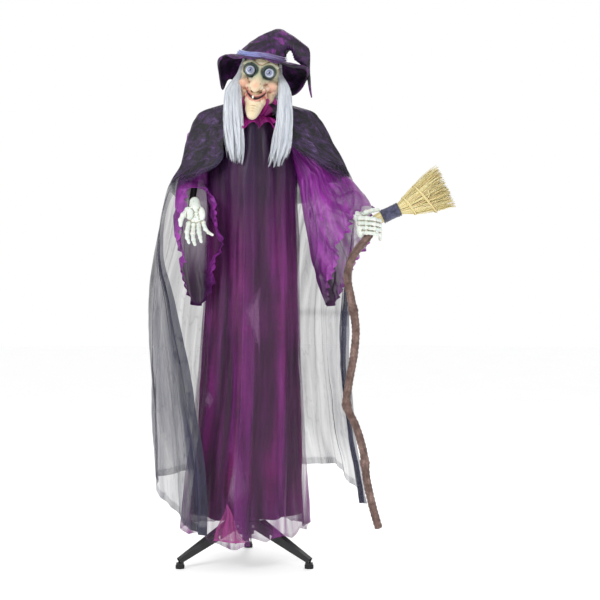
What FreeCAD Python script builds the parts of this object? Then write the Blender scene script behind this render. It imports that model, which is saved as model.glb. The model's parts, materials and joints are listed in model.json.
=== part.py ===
"""Life-size animated witch on a folding tripod stand, holding a broom (millimetres).

Frame: origin on the floor at the axis of the stand's pole, +Z up. The figure faces -Y,
so +X is on the figure's left. "left" and "right" below are the figure's own sides.
"""
import FreeCAD, Part
import math
import os
import re
import Sketcher
from FreeCAD import Placement, Rotation, Vector

# --------------------------------------------------------------------------- dimensions
SIZES = {
    # hub and legs
    "hub_radius": 28, "hub_low": 95, "hub_high": 160, "lug_width": 33.6, "lug_radius": 14,
    "leg_hinge_out": 42, "leg_hinge_up": 125, "leg_reach": 250, "leg_tip_up": 22,
    "leg_width": 38, "leg_tip_width": 20, "leg_wall": 2, "leg_height": 28, "leg_tip_height": 12,
    "leg_below": 9, "leg_pin_radius": 3, "pad_radius": 15, "pad_height": 12, "stem_radius": 4,
    "knob_radius": 17, "knob_height": 14, "screw_radius": 3, "knob_up": 150,
    # poles
    "pole_radius": 12.5, "pole_wall": 1.5, "pole_low": 70, "pole_high": 560,
    "inner_pole_radius": 10.9, "inner_pole_low": 460, "inner_pole_high": 1080,
    "collar_low": 545, "collar_high": 575, "collar_radius": 17, "button_up": 530, "button_radius": 3.5,
    "fit_gap": 0.08,
    # battery box on the pole
    "box_low": 300, "box_height": 110, "box_width": 74, "box_depth": 42, "box_wall": 2.5, "cell_radius": 11,
    # waist drive
    "gear_module": 1.5, "waist_teeth": 40, "waist_pinion_teeth": 12, "gear_low": 985, "gear_height": 10,
    "bearing_low": 1005, "bearing_high": 1045, "bearing_radius": 24, "bracket_thick": 6,
    "motor_radius": 15, "motor_height": 55, "shaft_radius": 2.5,
    # torso
    "torso_middle": 20, "torso_wall": 3, "torso_low": 960, "torso_waist": 1200, "torso_chest": 1410,
    "torso_top": 1494, "spine_width": 60, "spine_thick": 4, "bar_radius": 8,
    # neck and head
    "neck_out": 30, "neck_front": -38, "neck_radius": 12.5, "neck_low": 1444, "neck_high": 1600,
    "neck_teeth": 24, "neck_pinion_teeth": 10, "neck_gear_low": 1450, "neck_gear_height": 8,
    "bush_low": 1466, "bush_radius": 18, "neck_motor_radius": 12,
    "head_out": 48, "head_front": -60, "head_up": 1622, "head_wall": 3, "head_roll": 9,
    "cranium_radius": 70, "cranium_rise": 20, "jaw_radius": 52, "jaw_drop": 38, "jaw_front": 16,
    "eye_radius": 17, "eye_spread": 32,
    # hat
    "brim_radius": 148, "brim_wall": 3, "brim_up": 1700, "brim_drop": 40, "crown_radius": 84,
    "crown_wall": 3,
    # arms
    "arm_radius": 11, "forearm_radius": 10, "arm_wall": 1.95, "eye_ring_radius": 17, "eye_ring_width": 22,
    "elbow_radius": 12, "tongue_thick": 10, "ear_thick": 4.5, "ear_gap": 0.4, "elbow_pin_radius": 3,
    "stub_length": 34, "finger_radius": 8,
    # clothes
    "cloth": 3, "skirt_high": 1000, "skirt_low": 98, "bodice_low": 1006,
    "sleeve_top_radius": 33, "sleeve_low_radius": 40, "ruff_up": 1511, "ruff_radius": 62, "ruff_thick": 10,
    # broom
    "handle_radius": 13.5, "straw_radius": 20, "broom_collar_radius": 23.5, "broom_collar_length": 62,
    "fan_half_width": 76, "fan_half_depth": 34, "tie_width": 5, "tie_rise": 1.6,
}

# Joint centres and route points of the arms and the broom: x, y, z of each.
POINTS = {
    "right_shoulder": (-152, 0, 1425), "right_elbow": (-190, 25, 1180), "right_wrist": (-157, -232, 1212),
    "left_shoulder": (192, 0, 1425), "left_elbow": (290, -30, 1215), "left_wrist": (372, -176, 1176),
    "left_grip": (424, -200, 1132),
    "broom_neck": (434, -200, 1150), "broom_band": (480, -200, 1179), "broom_end": (649, -200, 1257),
}

ALIASES = list(SIZES) + [f"{name}_{axis}" for name in POINTS for axis in "xyz"]
ORIGIN = Vector(0, 0, 0)
UP = Vector(0, 0, 1)
ACROSS = Vector(1, 0, 0)
FRONT = Vector(0, -1, 0)

doc = FreeCAD.newDocument("AnimatedWitch")
sheet = doc.addObject("Spreadsheet::Sheet", "Sizes")
nodes = []


def fill_sheet():
    """Write every driving dimension to a cell of its own, as text, with its alias."""
    values = dict(SIZES)
    for name, place in POINTS.items():
        values.update({f"{name}_{axis}": number for axis, number in zip("xyz", place)})
    for row, (alias, number) in enumerate(values.items(), start=1):
        sheet.set(f"A{row}", alias)
        sheet.set(f"B{row}", str(number))
        sheet.setAlias(f"B{row}", alias)
    doc.recompute()


def formula(text):
    """The same text with each alias written as a reference to its cell."""
    def refer(word):
        return f"Sizes.{word[0]}" if word[0] in ALIASES else word[0]

    return re.sub(r"[a-z_]{3,}", refer, str(text))


def value(text):
    """The number that an expression of aliases gives."""
    return float(sheet.evalExpression(formula(text)))


def point(name):
    return Vector(*(value(f"{name}_{axis}") for axis in "xyz"))


def bind(thing, **properties):
    for name, text in properties.items():
        thing.setExpression(name, formula(text))
    return thing


def distance(first, second):
    """Expression for the length between two named points."""
    return "sqrt(" + " + ".join(f"({second}_{axis} - {first}_{axis})^2" for axis in "xyz") + ")"


def aim(direction, spot=ORIGIN):
    """Placement that turns +Z to a direction and moves the origin to a spot."""
    return Placement(spot, Rotation(UP, direction))


def spin(degrees, spot=ORIGIN, axis=UP):
    return Placement(spot, Rotation(axis, degrees))


def moved(x, y, z):
    """Placement that only moves."""
    return Placement(Vector(x, y, z), Rotation())


def node(thing, label):
    """Name a finished sub-part; the label becomes its file name."""
    thing.Label = label
    nodes.append(thing)
    return thing


# --------------------------------------------------------------------------- shape helpers
def cylinder(name, radius, height, place=Placement()):
    thing = doc.addObject("Part::Cylinder", name)
    bind(thing, Radius=radius, Height=height)
    thing.Placement = place
    return thing


def block(name, length, width, height, place=Placement()):
    """A box centred on its place in x and y, standing on it in z."""
    thing = doc.addObject("Part::Box", name)
    bind(thing, Length=length, Width=width, Height=height)
    thing.Placement = place * moved(-value(length) / 2, -value(width) / 2, 0)
    return thing


def ball(name, radius, spot):
    thing = doc.addObject("Part::Sphere", name)
    bind(thing, Radius=radius)
    thing.Placement.Base = spot
    return thing


def cut(name, base, tool):
    thing = doc.addObject("Part::Cut", name)
    thing.Base = base
    thing.Tool = tool
    return thing


def fuse(name, pieces):
    thing = doc.addObject("Part::MultiFuse", name)
    thing.Shapes = pieces
    return thing


def tube(name, radius, bore, height, place=Placement()):
    outer = cylinder(name + "_outer", radius, height, place)
    inner = cylinder(name + "_bore", bore, height, place)
    return cut(name, outer, inner)


def loft(name, sections):
    """Solid through ellipses, each (half x, half y, place); the halves are expressions."""
    rings = []
    for number, (half_x, half_y, place) in enumerate(sections):
        ring = doc.addObject("Part::Ellipse", f"{name}_ring{number}")
        bind(ring, MajorRadius=half_x, MinorRadius=half_y)
        ring.Placement = place
        rings.append(ring)
    thing = doc.addObject("Part::Loft", name)
    thing.Sections = rings
    thing.Solid = True
    thing.Ruled = True
    return thing


def shell_loft(name, sections, wall, overrun=1.0):
    """Open-ended shell: a loft less the same loft drawn in by the wall."""
    inner = [(f"{half_x} - {wall}", f"{half_y} - {wall}", place) for half_x, half_y, place in sections]
    for end, sign in ((0, -1), (-1, 1)):
        half_x, half_y, place = inner[end]
        inner[end] = (half_x, half_y, place * moved(0, 0, sign * overrun))
    return cut(name, loft(name + "_skin", sections), loft(name + "_hollow", inner))


# --------------------------------------------------------------------------- body helpers
def new_body(label, place=Placement()):
    body = doc.addObject("PartDesign::Body", label)
    body.Placement = place
    return body


def sketch(body, name, role, offset="0"):
    thing = body.newObject("Sketcher::SketchObject", name)
    plane = next(feature for feature in body.Origin.OriginFeatures if feature.Role == role)
    thing.AttachmentSupport = (plane, "")
    thing.MapMode = "FlatFace"
    thing.setExpression("AttachmentOffset.Base.z", formula(offset))
    return thing


def lock_point(drawing, geometry, corner, x_text, y_text):
    for kind, text in (("DistanceX", x_text), ("DistanceY", y_text)):
        rule = drawing.addConstraint(Sketcher.Constraint(kind, -1, 1, geometry, corner, value(text)))
        drawing.setExpression(f"Constraints[{rule}]", formula(text))


def outline(drawing, corners):
    """Closed polygon whose corners are pairs of expressions."""
    spots = [Vector(value(x_text), value(y_text), 0) for x_text, y_text in corners]
    lines = [drawing.addGeometry(Part.LineSegment(spots[side - 1], spots[side]))
             for side in range(len(spots))]
    for side, line in enumerate(lines):
        drawing.addConstraint(Sketcher.Constraint("Coincident", lines[side - 1], 2, line, 1))
        lock_point(drawing, line, 2, *corners[side])


def circle(drawing, radius, x_text="0", y_text="0"):
    centre = Vector(value(x_text), value(y_text), 0)
    round_line = drawing.addGeometry(Part.Circle(centre, UP, value(radius)))
    rule = drawing.addConstraint(Sketcher.Constraint("Radius", round_line, value(radius)))
    drawing.setExpression(f"Constraints[{rule}]", formula(radius))
    lock_point(drawing, round_line, 3, x_text, y_text)


def pad(body, drawing, length, midplane=False):
    thing = body.newObject("PartDesign::Pad", drawing.Name + "_pad")
    thing.Profile = drawing
    thing.Midplane = midplane
    bind(thing, Length=length)
    return thing


def pocket(body, drawing, length, midplane=False, reverse=False):
    """Cut a sketch out of the body, and stop if nothing was cut."""
    doc.recompute()
    before = body.Shape.Volume
    thing = body.newObject("PartDesign::Pocket", drawing.Name + "_pocket")
    thing.Profile = drawing
    thing.Midplane = midplane
    thing.Reversed = reverse
    bind(thing, Length=length)
    doc.recompute()
    if body.Shape.Volume > before - 1:
        raise ValueError(f"{thing.Name} cuts nothing")
    return thing


def repeat_round(body, features, count):
    pattern = body.newObject("PartDesign::PolarPattern", features[0].Name + "_around")
    axis = next(feature for feature in body.Origin.OriginFeatures if feature.Role == "Z_Axis")
    pattern.Originals = features
    pattern.Axis = (axis, [""])
    pattern.Angle = 360
    pattern.Occurrences = count
    body.Tip = pattern
    return pattern


def spur_gear(label, teeth, height, bore, place):
    """Gear on +Z with straight-flanked teeth; the first gap faces the body's +X."""
    body = new_body(label, place)
    tip = f"gear_module * ({teeth} / 2 + 0.9)"
    disc = sketch(body, label + "_disc", "XY_Plane")
    circle(disc, tip)
    if bore:
        circle(disc, bore)
    pad(body, disc, height)
    gap = sketch(body, label + "_gap", "XY_Plane")
    root = f"gear_module * ({teeth} / 2 - 1.2)"
    outline(gap, [(root, "-gear_module * 0.63"), (f"{tip} + 1", "-gear_module * 1.48"),
                  (f"{tip} + 1", "gear_module * 1.48"), (root, "gear_module * 0.63")])
    gap_cut = pocket(body, gap, height, reverse=True)
    repeat_round(body, [gap_cut], int(value(teeth)))
    return body


# --------------------------------------------------------------------------- stand
def make_hub():
    """Barrel with three hinge lugs and the clamp screw's hole."""
    body = new_body("hub_casting", spin(-30))
    barrel = sketch(body, "hub_barrel", "XY_Plane", "hub_low")
    circle(barrel, "hub_radius")
    circle(barrel, "pole_radius + fit_gap")
    pad(body, barrel, "hub_high - hub_low")
    lug = sketch(body, "hub_lug", "XZ_Plane")
    outline(lug, [("hub_radius - 4", "leg_hinge_up - lug_radius"),
                  ("leg_hinge_out + 6", "leg_hinge_up - lug_radius"),
                  ("leg_hinge_out + lug_radius", "leg_hinge_up - 6"),
                  ("leg_hinge_out + lug_radius", "leg_hinge_up + 4"),
                  ("leg_hinge_out + 4", "leg_hinge_up + lug_radius"),
                  ("hub_radius - 4", "leg_hinge_up + lug_radius")])
    circle(lug, "leg_pin_radius", "leg_hinge_out", "leg_hinge_up")
    lug_pad = pad(body, lug, "lug_width", midplane=True)
    repeat_round(body, [lug_pad], 3)
    hole = cylinder("hub_screw_hole", "screw_radius + 0.05", "hub_radius + 4", knob_place())
    return node(cut("base_hub_drilled", body, hole), "base_hub")


def knob_place():
    """The clamp screw's line, between the front left and the rear leg."""
    return spin(30, Vector(0, 0, value("knob_up"))) * aim(ACROSS)


def make_clamp_knob():
    body = new_body("hub_clamp_knob", knob_place())
    shaft = sketch(body, "knob_shaft", "XY_Plane", "pole_radius + 0.6")
    circle(shaft, "screw_radius")
    pad(body, shaft, "hub_radius + 6 - pole_radius")
    head = sketch(body, "knob_head", "XY_Plane", "hub_radius + 5")
    circle(head, "knob_radius")
    pad(body, head, "knob_height")
    scallop = sketch(body, "knob_scallop", "XY_Plane", "hub_radius + 5")
    circle(scallop, "knob_radius / 4", "knob_radius * 1.08")
    scallop_cut = pocket(body, scallop, "knob_height", reverse=True)
    repeat_round(body, [scallop_cut], 6)
    return node(body, "hub_clamp_knob")


def leg_line(along, above):
    """Expressions for a point in the leg's side view: distances along and above its slope."""
    run = "(leg_reach - leg_hinge_out)"
    fall = "(leg_hinge_up - leg_tip_up)"
    length = f"sqrt({run}^2 + {fall}^2)"
    x_text = f"leg_hinge_out + {run} * ({along}) + {fall} * ({above}) / {length}"
    z_text = f"leg_hinge_up - {fall} * ({along}) + {run} * ({above}) / {length}"
    return x_text, z_text


def make_leg(label, azimuth):
    """Tapered pressed channel, open below, with a flange at its foot."""
    body = new_body(label, spin(azimuth))
    side = sketch(body, label + "_side", "XZ_Plane")
    outline(side, [leg_line("-0.05", "-leg_below"), leg_line("1", "-leg_below / 2"),
                   leg_line("1", "leg_tip_height"), leg_line("0.06", "leg_height"),
                   leg_line("-0.05", "leg_height * 0.4")])
    circle(side, "leg_pin_radius + fit_gap", "leg_hinge_out", "leg_hinge_up")
    pad(body, side, "leg_width", midplane=True)
    taper = sketch(body, label + "_taper", "XY_Plane", "-1")
    for sign in ("", "-"):
        outline(taper, [("leg_hinge_out + 20", f"{sign}leg_width / 2"),
                        ("leg_reach + 30", f"{sign}(leg_tip_width / 2 - 1)"),
                        ("leg_reach + 30", f"{sign}leg_width")])
    pocket(body, taper, "hub_high", reverse=True)
    inside = sketch(body, label + "_inside", "XZ_Plane")
    outline(inside, [leg_line("-0.08", "-leg_below * 2"), leg_line("1.1", "-leg_below * 2"),
                     leg_line("1.1", "leg_tip_height - leg_wall"), leg_line("0.06", "leg_height - leg_wall"),
                     leg_line("-0.08", "leg_height * 0.42")])
    pocket(body, inside, "leg_tip_width - 2 * leg_wall", midplane=True)
    root = sketch(body, label + "_root", "XZ_Plane")
    outline(root, [leg_line("-0.08", "-leg_below * 2"), leg_line("0.33", "-leg_below * 2"),
                   leg_line("0.33", "leg_height * 0.75 - leg_wall * 2"),
                   leg_line("0.06", "leg_height - leg_wall"), leg_line("-0.08", "leg_height * 0.42")])
    pocket(body, root, "leg_width - 2 * leg_wall", midplane=True)
    flange = sketch(body, label + "_flange", "XY_Plane", "pad_height")
    circle(flange, "leg_tip_width / 2 + 3", "leg_reach - 2")
    circle(flange, "stem_radius", "leg_reach - 2")
    pad(body, flange, "leg_below - 2")
    return node(body, label)


def make_foot_pad(label, azimuth):
    body = new_body(label, spin(azimuth) * moved(value("leg_reach - 2"), 0, 0))
    disc = sketch(body, label + "_disc", "XY_Plane")
    circle(disc, "pad_radius")
    pad(body, disc, "pad_height")
    stem = sketch(body, label + "_stem", "XY_Plane", "pad_height")
    circle(stem, "stem_radius")
    pad(body, stem, "leg_below - 3")
    return node(body, label)


def make_leg_pins():
    pins = []
    for azimuth in (-30, 90, 210):
        hinge = spin(azimuth) * moved(value("leg_hinge_out"), 0, value("leg_hinge_up"))
        start = hinge * aim(-FRONT, Vector(0, -value("leg_width / 2 + 0.5"), 0))
        name = f"pin{azimuth}".replace("-", "m")
        pins.append(cylinder(name, "leg_pin_radius", "leg_width + 1", start))
        for end, step in (("a", "-2"), ("b", "leg_width + 1")):
            head = start * moved(0, 0, value(step))
            pins.append(cylinder(name + end, "leg_pin_radius + 2", "2", head))
    return node(fuse("leg_pins_set", pins), "leg_pins")


def make_poles():
    low = moved(0, 0, value("pole_low"))
    lower = tube("pole_tube", "pole_radius", "pole_radius - pole_wall", "pole_high - pole_low", low)
    button_line = aim(FRONT, Vector(0, 0, value("button_up")))
    hole = cylinder("pole_button_hole", "button_radius + fit_gap", "pole_radius + 4", button_line)
    node(cut("pole_drilled", lower, hole), "lower_pole")

    high = moved(0, 0, value("inner_pole_low"))
    height = "inner_pole_high - inner_pole_low"
    upper = tube("inner_tube", "inner_pole_radius", "inner_pole_radius - pole_wall", height, high)
    hole = cylinder("inner_button_hole", "button_radius + fit_gap", "pole_radius + 4", button_line)
    node(cut("inner_drilled", upper, hole), "upper_pole")

    ring_place = moved(0, 0, value("collar_low"))
    ring = cylinder("collar_ring", "collar_radius", "collar_high - collar_low", ring_place)
    wide = cylinder("collar_wide", "pole_radius + fit_gap", "pole_high - collar_low", ring_place)
    narrow = cylinder("collar_narrow", "inner_pole_radius + fit_gap", "collar_high - collar_low", ring_place)
    node(cut("collar_bored", ring, fuse("collar_bore", [wide, narrow])), "pole_collar")

    start = button_line * moved(0, 0, value("inner_pole_radius - pole_wall - 3.4"))
    stud = cylinder("button_stud", "button_radius", "pole_radius - inner_pole_radius + 7.5", start)
    flange = cylinder("button_flange", "button_radius + 1.5", "1.2", start)
    node(fuse("button", [stud, flange]), "snap_button")


def make_battery_box():
    """Tray clipped behind the lower pole, with its cells, hinged door and rocker switch."""
    front = value("pole_radius + box_wall")
    middle = front + value("box_depth") / 2
    low = value("box_low")
    case = block("tray_case", "box_width", "box_depth", "box_height", moved(0, middle, low))
    bay_place = moved(0, middle + value("box_wall"), low + value("box_wall"))
    bay = block("tray_bay", "box_width - 2 * box_wall", "box_depth", "box_height - 12", bay_place)
    clip = cylinder("tray_clip", "pole_radius + 5", "24", moved(0, 0, low + 40))
    clip_bore = cylinder("tray_clip_bore", "pole_radius", "box_height", moved(0, 0, low))
    slot_place = moved(0, middle, low + value("box_height") - 5)
    slot = block("tray_slot", "15", "10", "6", slot_place)
    shell = fuse("tray_shell", [case, clip])
    node(cut("tray", shell, fuse("tray_hollows", [bay, clip_bore, slot])), "battery_box")

    cells = []
    for number in (-1, 0, 1):
        spot = Vector(number * value("2 * cell_radius + 0.4"), middle, low + value("box_wall") + 1)
        cells.append(cylinder(f"cell{number + 1}", "cell_radius", "box_height - 16", aim(UP, spot)))
    node(fuse("cells", cells), "battery_cells")

    door_place = moved(0, front + value("box_depth") + 1.5, low + 1)
    door = block("door_panel", "box_width - 2", "2.2", "box_height - 8", door_place)
    node(door, "battery_door")

    rocker_place = moved(0, middle, low + value("box_height") - 3.6)
    node(block("rocker", "14.6", "8.6", "6", rocker_place), "power_switch")


def make_waist_drive():
    gear_place = Placement(Vector(0, 0, value("gear_low")), Rotation(UP, 90))
    node(spur_gear("waist_gear", "waist_teeth", "gear_height", "inner_pole_radius", gear_place), "waist_gear")

    centre = value("gear_module * (waist_teeth + waist_pinion_teeth) / 2")
    half_tooth = 180 / value("waist_pinion_teeth")
    pinion_place = Placement(Vector(0, centre, value("gear_low")), Rotation(UP, -90 + half_tooth))
    pinion = spur_gear("waist_pinion_wheel", "waist_pinion_teeth", "gear_height", "", pinion_place)
    shaft_place = moved(0, centre, value("gear_low"))
    shaft = cylinder("waist_pinion_shaft", "shaft_radius", "bearing_low - gear_low + 20", shaft_place)
    node(fuse("waist_pinion_set", [pinion, shaft]), "waist_pinion")

    body = new_body("waist_bearing")
    plate = sketch(body, "bearing_plate", "XY_Plane", "bearing_low")
    outline(plate, [("-spine_width / 2", "-34"), ("spine_width / 2", "-34"), ("spine_width / 2", "60"),
                    ("-spine_width / 2", "60")])
    pad(body, plate, "bracket_thick")
    boss = sketch(body, "bearing_boss", "XY_Plane", "bearing_low")
    circle(boss, "bearing_radius")
    pad(body, boss, "bearing_high - bearing_low")
    bore = sketch(body, "bearing_bore", "XY_Plane", "bearing_low")
    circle(bore, "inner_pole_radius + fit_gap")
    circle(bore, "shaft_radius + 1", "0", "gear_module * (waist_teeth + waist_pinion_teeth) / 2")
    pocket(body, bore, "bearing_high - bearing_low", reverse=True)
    node(body, "waist_bearing")

    motor_place = moved(0, centre, value("bearing_low + bracket_thick"))
    can = cylinder("waist_motor_can", "motor_radius - 0.4", "motor_height", motor_place)
    socket = cylinder("waist_motor_socket", "shaft_radius + 0.06", "16", motor_place)
    node(cut("waist_motor_bored", can, socket), "waist_motor")


# --------------------------------------------------------------------------- torso
def level(height, out="torso_middle", front="0"):
    return moved(value(out), value(front), value(height))


def make_torso():
    """Two half shells, the shoulder bar, the spine, the control board and the speaker."""
    sections = [("104", "76", level("torso_low")), ("128", "90", level("torso_waist")),
                ("122", "82", level("torso_chest")), ("76", "68", level("torso_top"))]
    skin = shell_loft("torso", sections, "torso_wall")
    bar_place = aim(ACROSS, point("right_shoulder"))
    bar_length = distance("right_shoulder", "left_shoulder")
    bar_hole = cylinder("torso_bar_hole", "bar_radius + 0.3", bar_length, bar_place)
    bored = cut("torso_bored", skin, bar_hole)
    for label, side in (("torso_front_shell", 1), ("torso_rear_shell", -1)):
        keep = moved(value("torso_middle"), side * 199.8, value("torso_low") - 5)
        away = block(label + "_side", "500", "400", "600", keep)
        node(cut(label + "_half", bored, away), label)

    bar = tube("bar_tube", "bar_radius", "bar_radius - pole_wall", bar_length + " + 44",
               bar_place * moved(0, 0, -22))
    node(bar, "shoulder_bar")

    spine_low = moved(value("torso_middle"), value("bar_radius + spine_thick / 2 + 0.1"),
                                 value("bearing_low + bracket_thick"))
    strip = block("spine_strip", "spine_width", "spine_thick", "bush_low - bearing_low - bracket_thick",
                  spine_low)
    bearing_room = cylinder("spine_bearing_room", "bearing_radius + 0.2", "bearing_high - bearing_low",
                            level("bearing_low", "0"))
    pole_room = cylinder("spine_pole_room", "inner_pole_radius + 0.5", "inner_pole_high + 4 - bearing_low",
                         level("bearing_low", "0"))
    motor_room = cylinder("spine_motor_room", "motor_radius + 1", "motor_height + 8",
                          moved(0, value("gear_module * (waist_teeth + waist_pinion_teeth) / 2"),
                                           value("bearing_low")))
    rooms = fuse("spine_rooms", [bearing_room, pole_room, motor_room])
    node(cut("spine_cut", strip, rooms), "torso_spine")

    board_place = moved(value("torso_middle"), value("bar_radius + spine_thick + 3"), 1150)
    sheet_board = block("board_sheet", "86", "1.6", "70", board_place)
    chips = [sheet_board]
    for number, (shift, width) in enumerate(((-24, 18), (4, 12), (26, 22))):
        chip_place = board_place * moved(shift, 3.2, 20 + 8 * number)
        chips.append(block(f"board_chip{number}", str(width), "5", "14", chip_place))
    node(fuse("board_set", chips), "control_board")

    horn_place = aim(FRONT, Vector(value("torso_middle"), -60, 1300))
    horn = doc.addObject("Part::Cone", "speaker_cone")
    bind(horn, Radius1="14", Radius2="28", Height="14")
    horn.Placement = horn_place * moved(0, 0, -4)
    magnet = cylinder("speaker_magnet", "16", "12", horn_place * moved(0, 0, -16))
    node(fuse("speaker_set", [horn, magnet]), "speaker")


def make_neck():
    axis_spot = Vector(value("neck_out"), value("neck_front"), 0)

    def on_neck(height):
        return Placement(axis_spot + UP * value(height), Rotation())

    neck = tube("neck_shaft", "neck_radius", "neck_radius - 2", "neck_high - neck_low", on_neck("neck_low"))
    node(neck, "neck_tube")
    gear_place = Placement(axis_spot + UP * value("neck_gear_low"), Rotation(UP, 180))
    node(spur_gear("neck_gear", "neck_teeth", "neck_gear_height", "neck_radius", gear_place), "neck_gear")

    reach = value("gear_module * (neck_teeth + neck_pinion_teeth) / 2")
    drive_spot = axis_spot - ACROSS * reach
    half_tooth = 180 / value("neck_pinion_teeth")
    wheel_place = Placement(drive_spot + UP * value("neck_gear_low"), Rotation(UP, half_tooth))
    wheel = spur_gear("neck_pinion_wheel", "neck_pinion_teeth", "neck_gear_height", "", wheel_place)
    shaft_place = Placement(drive_spot + UP * (value("neck_gear_low") - 16), Rotation())
    shaft = cylinder("neck_pinion_shaft", "shaft_radius", "neck_gear_height + 16", shaft_place)
    node(fuse("neck_pinion_set", [wheel, shaft]), "neck_pinion")

    can_place = Placement(drive_spot + UP * (value("neck_gear_low") - 46), Rotation())
    can = cylinder("neck_motor_can", "neck_motor_radius", "44", can_place)
    socket_place = Placement(drive_spot + UP * (value("neck_gear_low") - 18), Rotation())
    socket = cylinder("neck_motor_socket", "shaft_radius + 0.06", "20", socket_place)
    node(cut("neck_motor_bored", can, socket), "neck_motor")

    flange = loft("bush_flange", [("72", "64", level("torso_top")), ("70", "62", level("torso_top + 5"))])
    boss = cylinder("bush_boss", "bush_radius", "torso_top + 5 - bush_low", on_neck("bush_low"))
    bore = cylinder("bush_bore", "neck_radius + fit_gap", "60", on_neck("bush_low - 5"))
    node(cut("bush_bored", fuse("bush_set", [flange, boss]), bore), "neck_bush")


# --------------------------------------------------------------------------- head
def head_place(spot=ORIGIN):
    """A spot of the head, which leans to the figure's left about its own centre."""
    centre = Vector(value("head_out"), value("head_front"), value("head_up"))
    return spin(value("head_roll"), centre, -FRONT) * Placement(spot, Rotation())


def head_solid(name, grow):
    """Cranium and jaw as two balls, larger by an amount."""
    cranium_spot = head_place(Vector(0, 0, value("cranium_rise"))).Base
    cranium = ball(name + "_cranium", f"cranium_radius + {grow}", cranium_spot)
    jaw_spot = head_place(Vector(0, -value("jaw_front"), -value("jaw_drop"))).Base
    return fuse(name, [cranium, ball(name + "_jaw", f"jaw_radius + {grow}", jaw_spot)])


def make_head():
    outer = head_solid("head_outer", "-1")
    hollow = head_solid("head_hollow", "-1 - head_wall")
    neck_room = cylinder("head_neck_room", "neck_radius + 2.2", "90",
                         moved(value("neck_out"), value("neck_front"), value("head_up - 100")))
    front_box = block("head_front_box", "300", "200", "300", head_place(Vector(0, -112, -150)))
    rear_hollow = fuse("skull_hollows", [hollow, neck_room, front_box])
    skull = cut("skull_half", outer, rear_hollow)
    plug_place = moved(value("neck_out"), value("neck_front"), value("neck_high"))
    plug = cylinder("skull_plug", "neck_radius - 2", "10", plug_place * moved(0, 0, -10))
    rib = block("skull_rib", "84", "20", "4", plug_place * moved(16, -4, 0))
    node(fuse("skull_set", [skull, plug, rib]), "skull_shell")

    def cone(name, base_radius, tip_radius, start, end):
        thing = doc.addObject("Part::Cone", name)
        bind(thing, Radius1=str(base_radius), Radius2=str(tip_radius), Height=str((end - start).Length))
        thing.Placement = head_place(start) * aim(end - start)
        return thing

    face_outer = head_solid("face_outer", "0")
    nose = cone("face_nose", 19, 8, Vector(-4, -70, 14), Vector(-6, -112, -34))
    nose_tip = ball("face_nose_tip", "9", head_place(Vector(-6, -111, -34)).Base)
    chin = cone("face_chin", 28, 11, Vector(0, -46, -62), Vector(0, -84, -121))
    chin_tip = ball("face_chin_tip", "11.5", head_place(Vector(0, -84, -121)).Base)
    solid = fuse("face_solid", [face_outer, nose, nose_tip, chin, chin_tip])
    inner = head_solid("face_inner", "-head_wall")
    rear_box = block("face_rear_box", "300", "200", "300", head_place(Vector(0, 87.7, -150)))
    sockets = []
    for side in (-1, 1):
        spot = head_place(Vector(side * value("eye_spread"), -66, 26)).Base
        sockets.append(ball(f"face_socket{side + 1}", "eye_radius + 0.4", spot))
    mouth = block("face_mouth", "46", "60", "9", head_place(Vector(-4, -86, -64)))
    node(cut("face_open", solid, fuse("face_hollows", [inner, rear_box, mouth] + sockets)), "face_mask")

    for label, side in (("eye_right", -1), ("eye_left", 1)):
        spot = head_place(Vector(side * value("eye_spread"), -66, 26)).Base
        node(ball(label + "_ball", "eye_radius", spot), label)


def lock_of_hair(label, half_x, half_y, route):
    sections = [(str(half_x * size), str(half_y * size), Placement(Vector(*spot), Rotation()))
                for size, *spot in route]
    node(loft(label + "_tress", sections), label)


def make_hair():
    """Tresses as (size, x, y, z) from the temple down; the back hair hugs the skull."""
    lock_of_hair("hair_right_lock", 26, 10, (
        (0.5, -38, -78, 1668), (0.9, -50, -104, 1600), (1, -52, -124, 1500), (0.95, -46, -124, 1420),
        (0.5, -40, -118, 1335)))
    lock_of_hair("hair_left_lock", 26, 10, (
        (0.5, 136, -84, 1655), (0.9, 138, -106, 1590), (1, 124, -128, 1500), (0.95, 116, -126, 1420),
        (0.5, 104, -118, 1328)))
    outer = head_solid("back_hair_outer", "12")
    inner = head_solid("back_hair_inner", "2")
    neck_room = cylinder("back_hair_neck_room", "neck_radius + 2.2", "90",
                         moved(value("neck_out"), value("neck_front"), value("head_up - 120")))
    front = block("back_hair_front", "300", "300", "300", head_place(Vector(0, -134, -150)))
    top = block("back_hair_top", "300", "300", "100", head_place(Vector(0, 0, 46)))
    node(cut("back_hair_half", outer, fuse("back_hair_cuts", [inner, front, top, neck_room])), "hair_back")


# --------------------------------------------------------------------------- hat
def hat_ring(out, height, lean=0.0, front=8.0):
    """A level of the hat in the head's own frame, leaning towards the figure's left."""
    return head_place(Vector(out, front, height)) * Placement(ORIGIN, Rotation(Vector(0, 1, 0), lean))


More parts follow.
